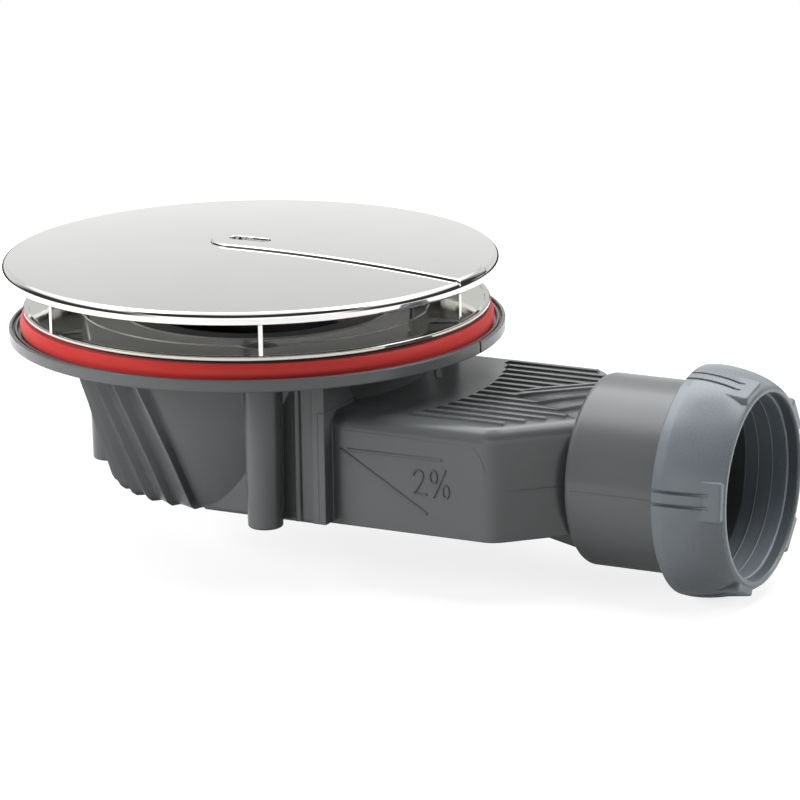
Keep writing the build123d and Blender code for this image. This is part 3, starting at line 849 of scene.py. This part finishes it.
    @staticmethod
    def loop(right: float, left: float, half: float, end: Sequence[Point2]) -> list[Point2]:
        """Closed line: near side, round left end, far side, then the given right end.

        Args:
            right: Where the sides end.
            left: Centre of the round end.
            half: Half the width.
            end: Points of the right end, from the far side to the near one.

        Returns:
            Points in clockwise order from above.
        """
        near = [(right + (left - right) * k / SIDE_STEPS, -half) for k in range(SIDE_STEPS)]
        turn = [math.radians(-90 - 180 * k / ARC_STEPS) for k in range(ARC_STEPS)]
        arc = [(left + half * math.cos(t), half * math.sin(t)) for t in turn]
        far = [(left + (right - left) * k / SIDE_STEPS, half) for k in range(SIDE_STEPS)]
        return [*near, *arc, *far, *end]

    def band_loop(self, inset: float) -> list[Point2]:
        """Outline of the band, set in from its foot.

        Args:
            inset: Distance inside the foot.

        Returns:
            Points in clockwise order from above.
        """
        half, end_r = self.band_half - inset, self.cover_r - self.band_back - inset
        swing = math.asin(half / end_r)
        turn = [swing * (1 - 2 * k / END_STEPS) for k in range(END_STEPS)]
        end = [(end_r * math.cos(t), end_r * math.sin(t)) for t in turn]
        return self.loop(end_r * math.cos(swing), self.band_left + self.band_half, half, end)

    def slot_loop(self, grown: float) -> list[Point2]:
        """Outline of the finger slot, grown outward.

        Args:
            grown: Distance outside the slot's wall.

        Returns:
            Points in clockwise order from above.
        """
        half, reach = 0.5 * self.slot_wide + grown, 0.5 * (self.slot_long - self.slot_wide)
        turn = [math.radians(90 - 180 * k / END_STEPS) for k in range(END_STEPS)]
        end = [(reach + half * math.cos(t), half * math.sin(t)) for t in turn]
        return self.loop(reach, -reach, half, end)

    def add_band(self, skin: Skin) -> None:
        """Raised band from beyond the centre to the rim, with the rounded finger slot in it.

        Args:
            skin: Mesh that gets the band.
        """
        turn = [math.radians(self.band_lean * (1 - k / FILLET_STEPS)) for k in range(FILLET_STEPS + 1)]
        fillet = [self.band_slope - self.band_round * math.sin(t) for t in turn]
        insets = [self.band_foot, *fillet, *self.band_insets]
        rows = [[self.band_spot(u, v, self.band_sunk) for u, v in self.band_loop(self.band_foot)]]
        rows.extend([self.band_spot(u, v) for u, v in self.band_loop(inset)] for inset in insets)
        pairs = list(zip(self.band_loop(insets[-1]), self.slot_loop(self.slot_round)))
        for k in range(1, BLEND_STEPS + 1):
            share = k / BLEND_STEPS
            mix = [(a[0] + (b[0] - a[0]) * share, a[1] + (b[1] - a[1]) * share) for a, b in pairs]
            rows.append([self.band_spot(u, v) for u, v in mix])
        core = self.slot_loop(-0.5 * self.slot_wide + self.slot_core)
        for k in range(1, ROUND_STEPS + 1):
            t = math.pi / 2 * k / ROUND_STEPS
            grown, sunk = self.slot_round * (1 - math.sin(t)), self.slot_round * (1 - math.cos(t))
            rows.append(self.slot_row(core, grown, sunk, t))
        rows.append(self.slot_row(core, 0.0, self.slot_deep, math.pi / 2))
        skin.add_rows(rows[::-1])
        skin.add_rows([self.slot_row(core, grown, self.slot_deep, 0.0) for grown in (-self.slot_floor, 0.0)])

    def slot_row(self, core: Sequence[Point2], grown: float, sunk: float, lean: float) -> list[Spot]:
        """One row round the slot, whose normals lean into it.

        Args:
            core: Middle line of the slot, point for point.
            grown: Distance outside the slot's wall.
            sunk: Depth below the band's top.
            lean: Angle between the normals and the upright.

        Returns:
            Points with normals.
        """
        row = []
        for (u, v), (cu, cv) in zip(self.slot_loop(grown), core):
            inward = Vector((cu - u, cv - v)).normalized() * math.sin(lean)
            point, _ = self.band_spot(u, v, sunk)
            row.append((point, self.lean(inward.x, inward.y, math.cos(lean))))
        return row

    def add_fin(self, skin: Skin, angle: float) -> None:
        """Upright radial plate with softened edges, from the dome's underside to the dish.

        Args:
            skin: Mesh that gets the fin.
            angle: Direction of the fin about the cover's centre.
        """
        a = math.radians(angle)
        out, side = Vector((math.cos(a), math.sin(a), 0.0)), Vector((-math.sin(a), math.cos(a), 0.0))
        base = Vector((self.centre[0], self.centre[1], 0.0))
        high = self.shell / 2
        corners = [
            (self.fin_in, self.fin_low),
            (self.fin_out, self.fin_low),
            (self.fin_out, self.dome_z(self.fin_out) - high),
            (self.fin_top_in, self.dome_z(self.fin_top_in) - high),
        ]
        count = len(corners)
        middle = Vector((sum(r for r, _ in corners) / count, sum(z for _, z in corners) / count))
        shift = 0.5 * self.fin_thick
        for i, corner in enumerate(corners):
            after = corners[(i + 1) % count]
            along = (Vector(after) - Vector(corner)).normalized()
            face = Vector((along.y, -along.x))
            strip = []
            for offset, inset, lean in (
                (shift, self.fin_edge, 1.0),
                (shift - self.fin_edge, 0.0, 0.0),
                (-shift + self.fin_edge, 0.0, 0.0),
                (-shift, self.fin_edge, -1.0),
            ):
                row = []
                for r, z in (corner, after):
                    spot = Vector((r, z))
                    spot = spot + (middle - spot).normalized() * inset
                    point = base + out * spot.x + side * offset + Vector((0.0, 0.0, spot.y))
                    normal = (out * face.x + Vector((0.0, 0.0, face.y))) * (1 - abs(lean)) + side * lean
                    row.append((tuple(point), tuple(normal)))
                strip.append(row)
            skin.add_rows(strip, closed=False)
        for sign in (-1.0, 1.0):
            start = len(skin.points)
            for r, z in corners:
                spot = Vector((r, z))
                spot = spot + (middle - spot).normalized() * self.fin_edge
                point = base + out * spot.x + side * (sign * shift) + Vector((0.0, 0.0, spot.y))
                skin.points.append(tuple(point))
                skin.normals.append(tuple(side * sign))
            order = range(count) if sign < 0 else reversed(range(count))
            skin.faces.append([start + k for k in order])


# Steps round a bead's section, and how far past a half turn it reaches so that its feet are sunk
BEAD_STEPS = 8
BEAD_WRAP = 1.2


def bead(line: Sequence[Vector], lifts: Sequence[Vector], radius: float) -> Skin:
    """Full-round bead along a closed line.

    Args:
        line: Centreline.
        lifts: Unit direction at each point that points out of the surface which carries the bead.
        radius: Radius of the bead.

    Returns:
        The bead's smooth mesh.
    """
    rows, count = [], len(line)
    for k in range(BEAD_STEPS + 1):
        t = math.pi * (k / BEAD_STEPS - 0.5) * BEAD_WRAP
        row = []
        for i, (here, lift) in enumerate(zip(line, lifts)):
            along = (line[(i + 1) % count] - line[i - 1]).normalized()
            normal = lift * math.cos(t) + along.cross(lift) * math.sin(t)
            row.append((tuple(here + normal * radius), tuple(normal)))
        rows.append(row)
    skin = Skin()
    skin.add_rows(rows[::-1])
    return skin


@dataclass
class ClampSet:
    """Dish with its rolled beads, its gasket and screws, and the red tray seal."""

    chrome: bpy.types.Material
    black: bpy.types.Material
    step_r: float = 40.75
    step_z: float = 3.62
    screw_circle: float = 39.0
    screw_angles: tuple[float, ...] = (60.0, 180.0, 300.0)
    pocket_r: float = 5.25
    pocket_fillet: float = 2.05
    mouth_r: float = 31.3
    mouth_z: float = 2.8
    bead_r: float = 0.28

    def step_reach(self, turn: float) -> float:
        """Distance of the step from the axis, which swings out round the screw pockets.

        Args:
            turn: Direction from the axis, in radians.

        Returns:
            The distance in millimetres.
        """
        swings = [(turn - math.radians(a) + math.pi) % (2 * math.pi) - math.pi for a in self.screw_angles]
        near = min(abs(swing) for swing in swings)
        d, p, q = self.screw_circle, self.pocket_r, self.pocket_fillet
        far = self.step_r + q
        lean = math.acos((far**2 + d**2 - (p + q) ** 2) / (2 * far * d))
        if near >= lean:
            return self.step_r
        share = p / (p + q)
        meet = math.atan2(far * math.sin(lean) * share, d + (far * math.cos(lean) - d) * share)
        if near <= meet:
            return d * math.cos(near) + math.sqrt(p**2 - (d * math.sin(near)) ** 2)
        return far * math.cos(near - lean) - math.sqrt(q**2 - (far * math.sin(near - lean)) ** 2)

    def add_beads(self, count: int = 720) -> None:
        """Adds the rolled edges of the step and of the mouth, with a painted highlight that makes them pale
        lines in the dark dish.

        Args:
            count: Corners along each bead.
        """
        # Painted highlight: the beads get a pale satin coat in place of chrome, so that they read as lit edges
        pale = EDGE_HIGHLIGHT_PAINTED.material()
        turns = [2 * math.pi * k / count for k in range(count)]
        lines = {
            "dish_step_bead": [(self.step_reach(t), self.step_z) for t in turns],
            "dish_mouth_bead": [(self.mouth_r, self.mouth_z) for _ in turns],
        }
        for name, spots in lines.items():
            line = [Vector((r * math.cos(t), r * math.sin(t), z)) for (r, z), t in zip(spots, turns)]
            skin = bead(line, [Vector((0.0, 0.0, 1.0))] * count, self.bead_r)
            piece = add_mesh(name, skin.points, skin.faces, EDGE_HIGHLIGHT_PAINTED, pale, normals=skin.normals)
            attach(piece, Body.TRAP.value)

    def build(self) -> None:
        """Dresses the clamped pieces and adds the beads."""
        self.add_beads()
        dress("clamp_flange", DISH_CHROME, self.chrome)
        # The black gasket under the dish's rim is partly real and partly painted shade: its black fills the
        # shadowed gap between the rim and the red seal
        dress("rim_gasket", SEAL_BLACK, self.black)
        dress("clamp_screws", STEEL, STEEL.material())
        dress("tray_seal", SEAL_RED, SEAL_RED.material())


@dataclass
class TrapBody:
    """Fluted bowl and welded duct, with the duct's moulded slope mark and parting lines.

    Lines on the duct's flat sides are (x, z) pairs, and the ends of the taper's parting line (x, y) pairs.
    """

    grey_skin: bpy.types.Material
    face_y: float = -30.5
    stroke_wide: float = 0.85
    figure_wide: float = 0.62
    stroke_high: float = 0.3
    tube_z: float = SOCKET_Z
    tube_r: float = 21.78
    parting_z: float = -25.5
    flash_wide: float = 0.16
    flash_high: float = 0.07
    flash_foot: float = -0.02
    ring_steps: int = 20
    level_line: Line = ((39.3, -19.5), (62.45, -19.42))
    slope_line: Line = ((37.5, -19.65), (58.7, -32.2))
    figure_two: Line = (
        (55.55, -23.45),
        (55.7, -22.85),
        (56.15, -22.4),
        (56.8, -22.25),
        (57.45, -22.45),
        (57.85, -22.95),
        (57.9, -23.6),
        (57.6, -24.6),
        (57.05, -25.6),
        (56.3, -26.75),
        (55.65, -27.75),
        (58.75, -27.75),
    )
    slash: Line = ((63.45, -21.75), (60.55, -28.05))
    rings: tuple[tuple[Point2, Point2], ...] = (((60.45, -23.45), (0.87, 1.45)), ((63.5, -26.6), (0.8, 1.4)))
    face_line: Line = (
        (33.7, -15.02),
        (51.5, -15.12),
        (67.6, -15.24),
        (69.9, -15.45),
        (71.2, -16.3),
        (72.1, -17.8),
        (72.8, -19.5),
        (73.1, -21.0),
    )
    tube_run: Point2 = (90.0, 111.3)
    taper_run: Line = ((77.9, 27.6), (87.7, 17.8))

    def build(self) -> None:
        """Dresses the bowl and duct and adds the moulded marks."""
        dress("trap_bowl", BODY_GREY, self.grey_skin)
        dress("outlet_duct", BODY_GREY, self.grey_skin)
        self.add_slope_mark()
        self.add_face_lines()
        self.add_parting_lines()

    def add_slope_mark(self) -> None:
        """Raised slope sign on the duct's front: a level line, a falling line and the fall in per cent."""
        strokes = [
            ("slope_level", self.level_line, self.stroke_wide, False),
            ("slope_fall", self.slope_line, self.stroke_wide, False),
            ("slope_two", self.figure_two, self.figure_wide, False),
            ("slope_slash", self.slash, self.figure_wide, False),
        ]
        turn = [2 * math.pi * k / self.ring_steps for k in range(self.ring_steps)]
        for i, (centre, half) in enumerate(self.rings):
            line = [(centre[0] + half[0] * math.cos(t), centre[1] + half[1] * math.sin(t)) for t in turn]
            strokes.append((f"slope_ring_{i}", line, self.figure_wide, True))
        for name, line, wide, closed in strokes:
            flat, faces = ribbon(line, wide, self.stroke_high, closed)
            points = [(x, self.face_y - h, z) for x, h, z in flat]
            piece = add_mesh(name, points, faces, BODY_GREY, self.grey_skin)
            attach(piece, Body.TRAP.value)

    def add_face_lines(self) -> None:
        """Fine flash lines along the top of the duct's two flat sides."""
        flat, strips = ribbon(self.face_line, 2 * self.flash_wide, self.flash_high)
        for side in Side:
            points = [(x, side.value * (abs(self.face_y) + h), z) for x, h, z in flat]
            faces = strips if side is Side.FRONT else [f[::-1] for f in strips]
            name = f"parting_face_{side.name.lower()}"
            piece = add_mesh(name, points, faces, BODY_GREY, self.grey_skin)
            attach(piece, Body.TRAP.value)

    def add_parting_lines(self) -> None:
        """Fine flash lines where the mould halves met, along the tube and the taper on both sides."""
        lift = self.parting_z - self.tube_z
        reach = math.sqrt(self.tube_r**2 - lift**2)
        section = (
            (-self.flash_wide, self.flash_foot),
            (0.0, self.flash_high),
            (self.flash_wide, self.flash_foot),
        )
        strips = [[0, 3, 4, 1], [1, 4, 5, 2]]
        for side in Side:
            sign = side.value
            out = Vector((0, sign * reach, lift)).normalized()
            up = Vector((0, -out.z * sign, abs(out.y)))
            runs = [
                ("tube", [(x, reach) for x in self.tube_run], out, up),
                ("taper", self.taper_run, Vector((1, sign, 0)).normalized(), Vector((0, 0, 1))),
            ]
            for run, ends, face, rise in runs:
                points: list[Point3] = []
                for x, y in ends:
                    end = Vector((x, sign * y, self.parting_z))
                    points.extend(tuple(end + rise * offset + face * height) for offset, height in section)
                faces = strips if side is Side.FRONT else [f[::-1] for f in strips]
                name = f"parting_{run}_{side.name.lower()}"
                piece = add_mesh(name, points, faces, BODY_GREY, self.grey_skin)
                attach(piece, Body.TRAP.value)


@dataclass
class OutletSet:
    """Compression nut, slip ring and cone seal with two fine ridges in its bore."""

    tube_z: float = SOCKET_Z
    ridges: Line = ((117.2, 20.36), (120.6, 20.46))
    ridge_r: float = 0.16

    def add_ridges(self, material: bpy.types.Material, count: int = 240) -> None:
        """Adds the fine rounded ridges that grip the pipe.

        Args:
            material: The seal's material.
            count: Corners round each ridge.
        """
        turns = [2 * math.pi * k / count for k in range(count)]
        outs = [Vector((0.0, math.cos(t), math.sin(t))) for t in turns]
        for i, (x, r) in enumerate(self.ridges):
            line = [Vector((x, 0.0, self.tube_z)) + out * r for out in outs]
            skin = bead(line, [-out for out in outs], self.ridge_r)
            name = f"seal_ridge_{i}"
            piece = add_mesh(name, skin.points, skin.faces, SEAL_GREY, material, normals=skin.normals)
            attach(piece, Body.TRAP.value)

    def build(self) -> None:
        """Dresses the outlet's loose pieces and adds the seal's ridges."""
        seal = SEAL_GREY.material()
        self.add_ridges(seal)
        dress("compression_nut", NUT_GREY, NUT_GREY.material())
        dress("thrust_washer", SLIP_CLEAR, SLIP_CLEAR.material())
        dress("cone_seal", SEAL_GREY, seal)


@dataclass
class DipInsert:
    """Lift-out dip tube and its ring."""

    black: bpy.types.Material

    def build(self) -> None:
        """Dresses the insert."""
        dress("dip_tube", INSERT_GREY, INSERT_GREY.material())
        dress("insert_o_ring", SEAL_BLACK, self.black)


@dataclass(frozen=True)
class Softbox:
    """One soft lamp that looks at the part, with lengths in metres."""

    name: str
    azimuth: float
    elevation: float
    distance: float
    size: Point2
    radiance: float

    def build(self, aim: Vector) -> None:
        """Adds the lamp.

        Args:
            aim: Point that the lamp faces.
        """
        data = bpy.data.lights.new(self.name, "AREA")
        data.shape = "RECTANGLE"
        data.size, data.size_y = self.size
        data.energy = self.radiance * math.pi * self.size[0] * self.size[1]
        lamp = bpy.data.objects.new(self.name, data)
        a, e = math.radians(self.azimuth), math.radians(self.elevation)
        back = Vector((math.sin(a) * math.cos(e), -math.cos(a) * math.cos(e), math.sin(e)))
        lamp.location = aim + back * self.distance
        lamp.rotation_euler = (-back).to_track_quat("-Z", "Y").to_euler()
        lamp.visible_glossy = False
        bpy.context.scene.collection.objects.link(lamp)


@dataclass(frozen=True)
class RoomPart:
    """Part of the studio that reflections see beside the backdrop.

    Its stops give brightness by height, where 0 is straight down, 0.5 level and 1 straight up. It sets in where
    a direction's share toward its place passes from start to full.
    """

    stops: Line
    toward: Toward
    start: float
    full: float


# Bright panel under the ceiling, over the pale backdrop and over the gaps beside it
CEILING: Line = ((0.715, 0.8), (0.75, 1.3), (0.83, 1.35), (0.88, 5.0), (0.965, 5.0), (0.985, 1.1))
BACKDROP: Line = ((0.0, 0.9), (0.5, 0.9), (0.52, 0.97), (0.63, 0.9), *CEILING)
# Low dark gaps beside the backdrop
GAPS = RoomPart(
    ((0.0, 0.9), (0.42, 0.9), (0.44, 0.02), (0.51, 0.02), (0.53, 0.9), *CEILING), Toward.SIDES, 0.08, 0.2
)
# Bright front screen with the dark room above it
FRONT_ROOM = RoomPart(
    ((0.0, 0.9), (0.5, 1.5), (0.66, 1.4), (0.69, 0.03), (0.965, 0.04), (0.98, 1.1)), Toward.FRONT, -0.1, 0.3
)
# Tall dark screens far to the sides
WINGS = RoomPart(
    (
        (0.0, 0.9),
        (0.44, 0.9),
        (0.46, 0.04),
        (0.72, 0.05),
        (0.8, 1.3),
        (0.9, 5.0),
        (0.965, 5.0),
        (0.985, 1.1),
    ),
    Toward.SIDES,
    0.6,
    0.85,
)


@dataclass
class Studio:
    """Pale floor, soft lamps, world and the photograph's camera.

    The camera's place, lens and sensor are in millimetres, and the other lengths in metres.
    """

    camera_place: Point3 = (509.6, -920.3, 263.3)
    camera_azimuth: float = 27.19
    camera_elevation: float = 15.10
    camera_roll: float = -0.96
    lens: float = 210.15
    sensor: float = 36.0
    clip: Point2 = (0.05, 20.0)
    floor_r: float = 0.46
    floor_corners: int = 96
    floor_bounce: float = 0.31
    floor_mirrored: float = 0.8
    floor_shade: float = 0.26
    floor_glow: float = 0.8
    ambient: float = 0.11
    aim: Vector = field(default_factory=lambda: Vector((0.03, 0.0, -0.01)))
    room_parts: tuple[RoomPart, ...] = (GAPS, FRONT_ROOM, WINGS)
    lamps: tuple[Softbox, ...] = (
        Softbox("softbox_top", 170.0, 80.0, 0.80, (0.9, 0.8), 4.2),
        Softbox("softbox_left", -46.0, 20.0, 0.80, (0.5, 0.35), 12.6),
        Softbox("softbox_far_left", -122.0, 14.0, 0.75, (0.3, 0.35), 14.0),
        Softbox("softbox_right_back", 110.0, 20.0, 0.80, (0.4, 0.4), 7.0),
    )

    def build(self) -> None:
        """Builds the stage, the light and the camera."""
        bpy.context.scene.view_settings.view_transform = "Standard"
        self.add_floor()
        self.add_world()
        for lamp in self.lamps:
            lamp.build(self.aim)
        self.add_camera()
        LOG.info("built the studio")

    def add_floor(self) -> None:
        """Round pale floor under the lowest point.

        The camera sees it white but for the part's shadow, and reflections see plain paper in the part's shade.
        """
        low = CAD_BOX[0].z
        mesh = bpy.data.meshes.new("floor")
        turn = [2 * math.pi * k / self.floor_corners for k in range(self.floor_corners)]
        ring = [(self.aim.x + self.floor_r * math.cos(t), self.floor_r * math.sin(t), low) for t in turn]
        mesh.from_pydata(ring, [], [list(range(self.floor_corners))])
        made, tree = new_material("floor_paper")
        bounce, mirrored, shade = (
            add_node(tree, "ShaderNodeBsdfDiffuse", {"Color": grey(value)}).outputs["BSDF"]
            for value in (self.floor_bounce, self.floor_mirrored, self.floor_shade)
        )
        unseen = add_node(tree, "ShaderNodeMixShader", {0: any_ray(tree, Ray.GLOSSY), 1: bounce, 2: mirrored})
        white = add_node(tree, "ShaderNodeEmission", {"Color": grey(1.0), "Strength": self.floor_glow})
        paper = add_node(tree, "ShaderNodeAddShader", {0: shade, 1: white.outputs["Emission"]})
        both = add_node(
            tree,
            "ShaderNodeMixShader",
            {
                0: any_ray(tree, Ray.CAMERA, Ray.TRANSMISSION),
                1: unseen.outputs["Shader"],
                2: paper.outputs["Shader"],
            },
        )
        add_node(tree, "ShaderNodeOutputMaterial", {"Surface": both.outputs["Shader"]})
        mesh.materials.append(made)
        floor = bpy.data.objects.new("floor", mesh)
        bpy.context.scene.collection.objects.link(floor)

    def add_world(self) -> None:
        """White to the camera, the studio's room in reflections, and a faint even light on the part."""
        world = bpy.data.worlds.new("studio")
        world.use_nodes = True
        tree = world.node_tree
        tree.nodes.clear()
        shown = add_node(
            tree,
            "ShaderNodeMix",
            {"Factor": any_ray(tree, Ray.CAMERA), "A": self.reflected_room(tree), "B": grey(1.0)},
            data_type="RGBA",
        )
        colour = add_node(
            tree,
            "ShaderNodeMix",
            {
                "Factor": any_ray(tree, Ray.CAMERA, Ray.GLOSSY, Ray.TRANSMISSION),
                "A": grey(self.ambient),
                "B": shown.outputs["Result"],
            },
            data_type="RGBA",
        )
        light = add_node(tree, "ShaderNodeBackground", {"Color": colour.outputs["Result"], "Strength": 1.0})
        add_node(tree, "ShaderNodeOutputWorld", {"Surface": light.outputs["Background"]})
        bpy.context.scene.world = world

    def reflected_room(self, tree: bpy.types.NodeTree) -> bpy.types.NodeSocket:
        """Backdrop with the other parts of the room laid over it, each in its own directions.

        Args:
            tree: Node tree of the world.

        Returns:
            Socket with the room's brightness.
        """
        a = math.radians(self.camera_azimuth)
        way = add_node(tree, "ShaderNodeTexCoord").outputs["Generated"]
        before, across = (
            add_node(tree, "ShaderNodeVectorMath", {0: way, 1: axis}, operation="DOT_PRODUCT").outputs["Value"]
            for axis in ((math.sin(a), -math.cos(a), 0.0), (math.cos(a), math.sin(a), 0.0))
        )
        beside = add_node(tree, "ShaderNodeMath", {0: across}, operation="ABSOLUTE").outputs["Value"]
        reach = {Toward.FRONT: before, Toward.SIDES: beside}
        height = add_node(tree, "ShaderNodeSeparateXYZ", {0: way}).outputs["Z"]
        rise = add_node(tree, "ShaderNodeMapRange", {"Value": height, "From Min": -1.0}).outputs["Result"]
        backdrop = add_node(tree, "ShaderNodeValToRGB", {0: rise})
        set_ramp(backdrop, BACKDROP)
        room = backdrop.outputs["Color"]
        for part in self.room_parts:
            share = add_node(
                tree,
                "ShaderNodeMapRange",
                {"Value": reach[part.toward], "From Min": part.start, "From Max": part.full},
                interpolation_type="SMOOTHSTEP",
            )
            ramp = add_node(tree, "ShaderNodeValToRGB", {0: rise})
            set_ramp(ramp, part.stops)
            room = add_node(
                tree,
                "ShaderNodeMix",
                {"Factor": share.outputs["Result"], "A": room, "B": ramp.outputs["Color"]},
                data_type="RGBA",
            ).outputs["Result"]
        return room

    def add_camera(self) -> None:
        """Camera at the photograph's place, turn and roll."""
        a, e, r = (math.radians(v) for v in (self.camera_azimuth, self.camera_elevation, self.camera_roll))
        back = Vector((math.sin(a) * math.cos(e), -math.cos(a) * math.cos(e), math.sin(e)))
        right = Vector((math.cos(a), math.sin(a), 0.0))
        up = back.cross(right)
        across = right * math.cos(r) + up * math.sin(r)
        above = up * math.cos(r) - right * math.sin(r)
        data = bpy.data.cameras.new("camera")
        data.lens = self.lens
        data.sensor_width = self.sensor
        data.clip_start, data.clip_end = self.clip
        camera = bpy.data.objects.new("camera", data)
        turn = Matrix((across, above, back)).transposed().to_4x4()
        camera.matrix_world = Matrix.Translation(Vector(self.camera_place) * MM) @ turn
        bpy.context.scene.collection.objects.link(camera)
        bpy.context.scene.camera = camera


def main() -> None:
    """Builds each sub-assembly in order, then the studio."""
    logging.basicConfig(level=logging.INFO, format="%(message)s")
    chrome = DISH_CHROME.material()
    black = SEAL_BLACK.material()
    CoverSet().build()
    ClampSet(chrome, black).build()
    TrapBody(BODY_GREY.material()).build()
    OutletSet().build()
    DipInsert(black).build()
    Studio().build()


if __name__ == "__main__":
    main()
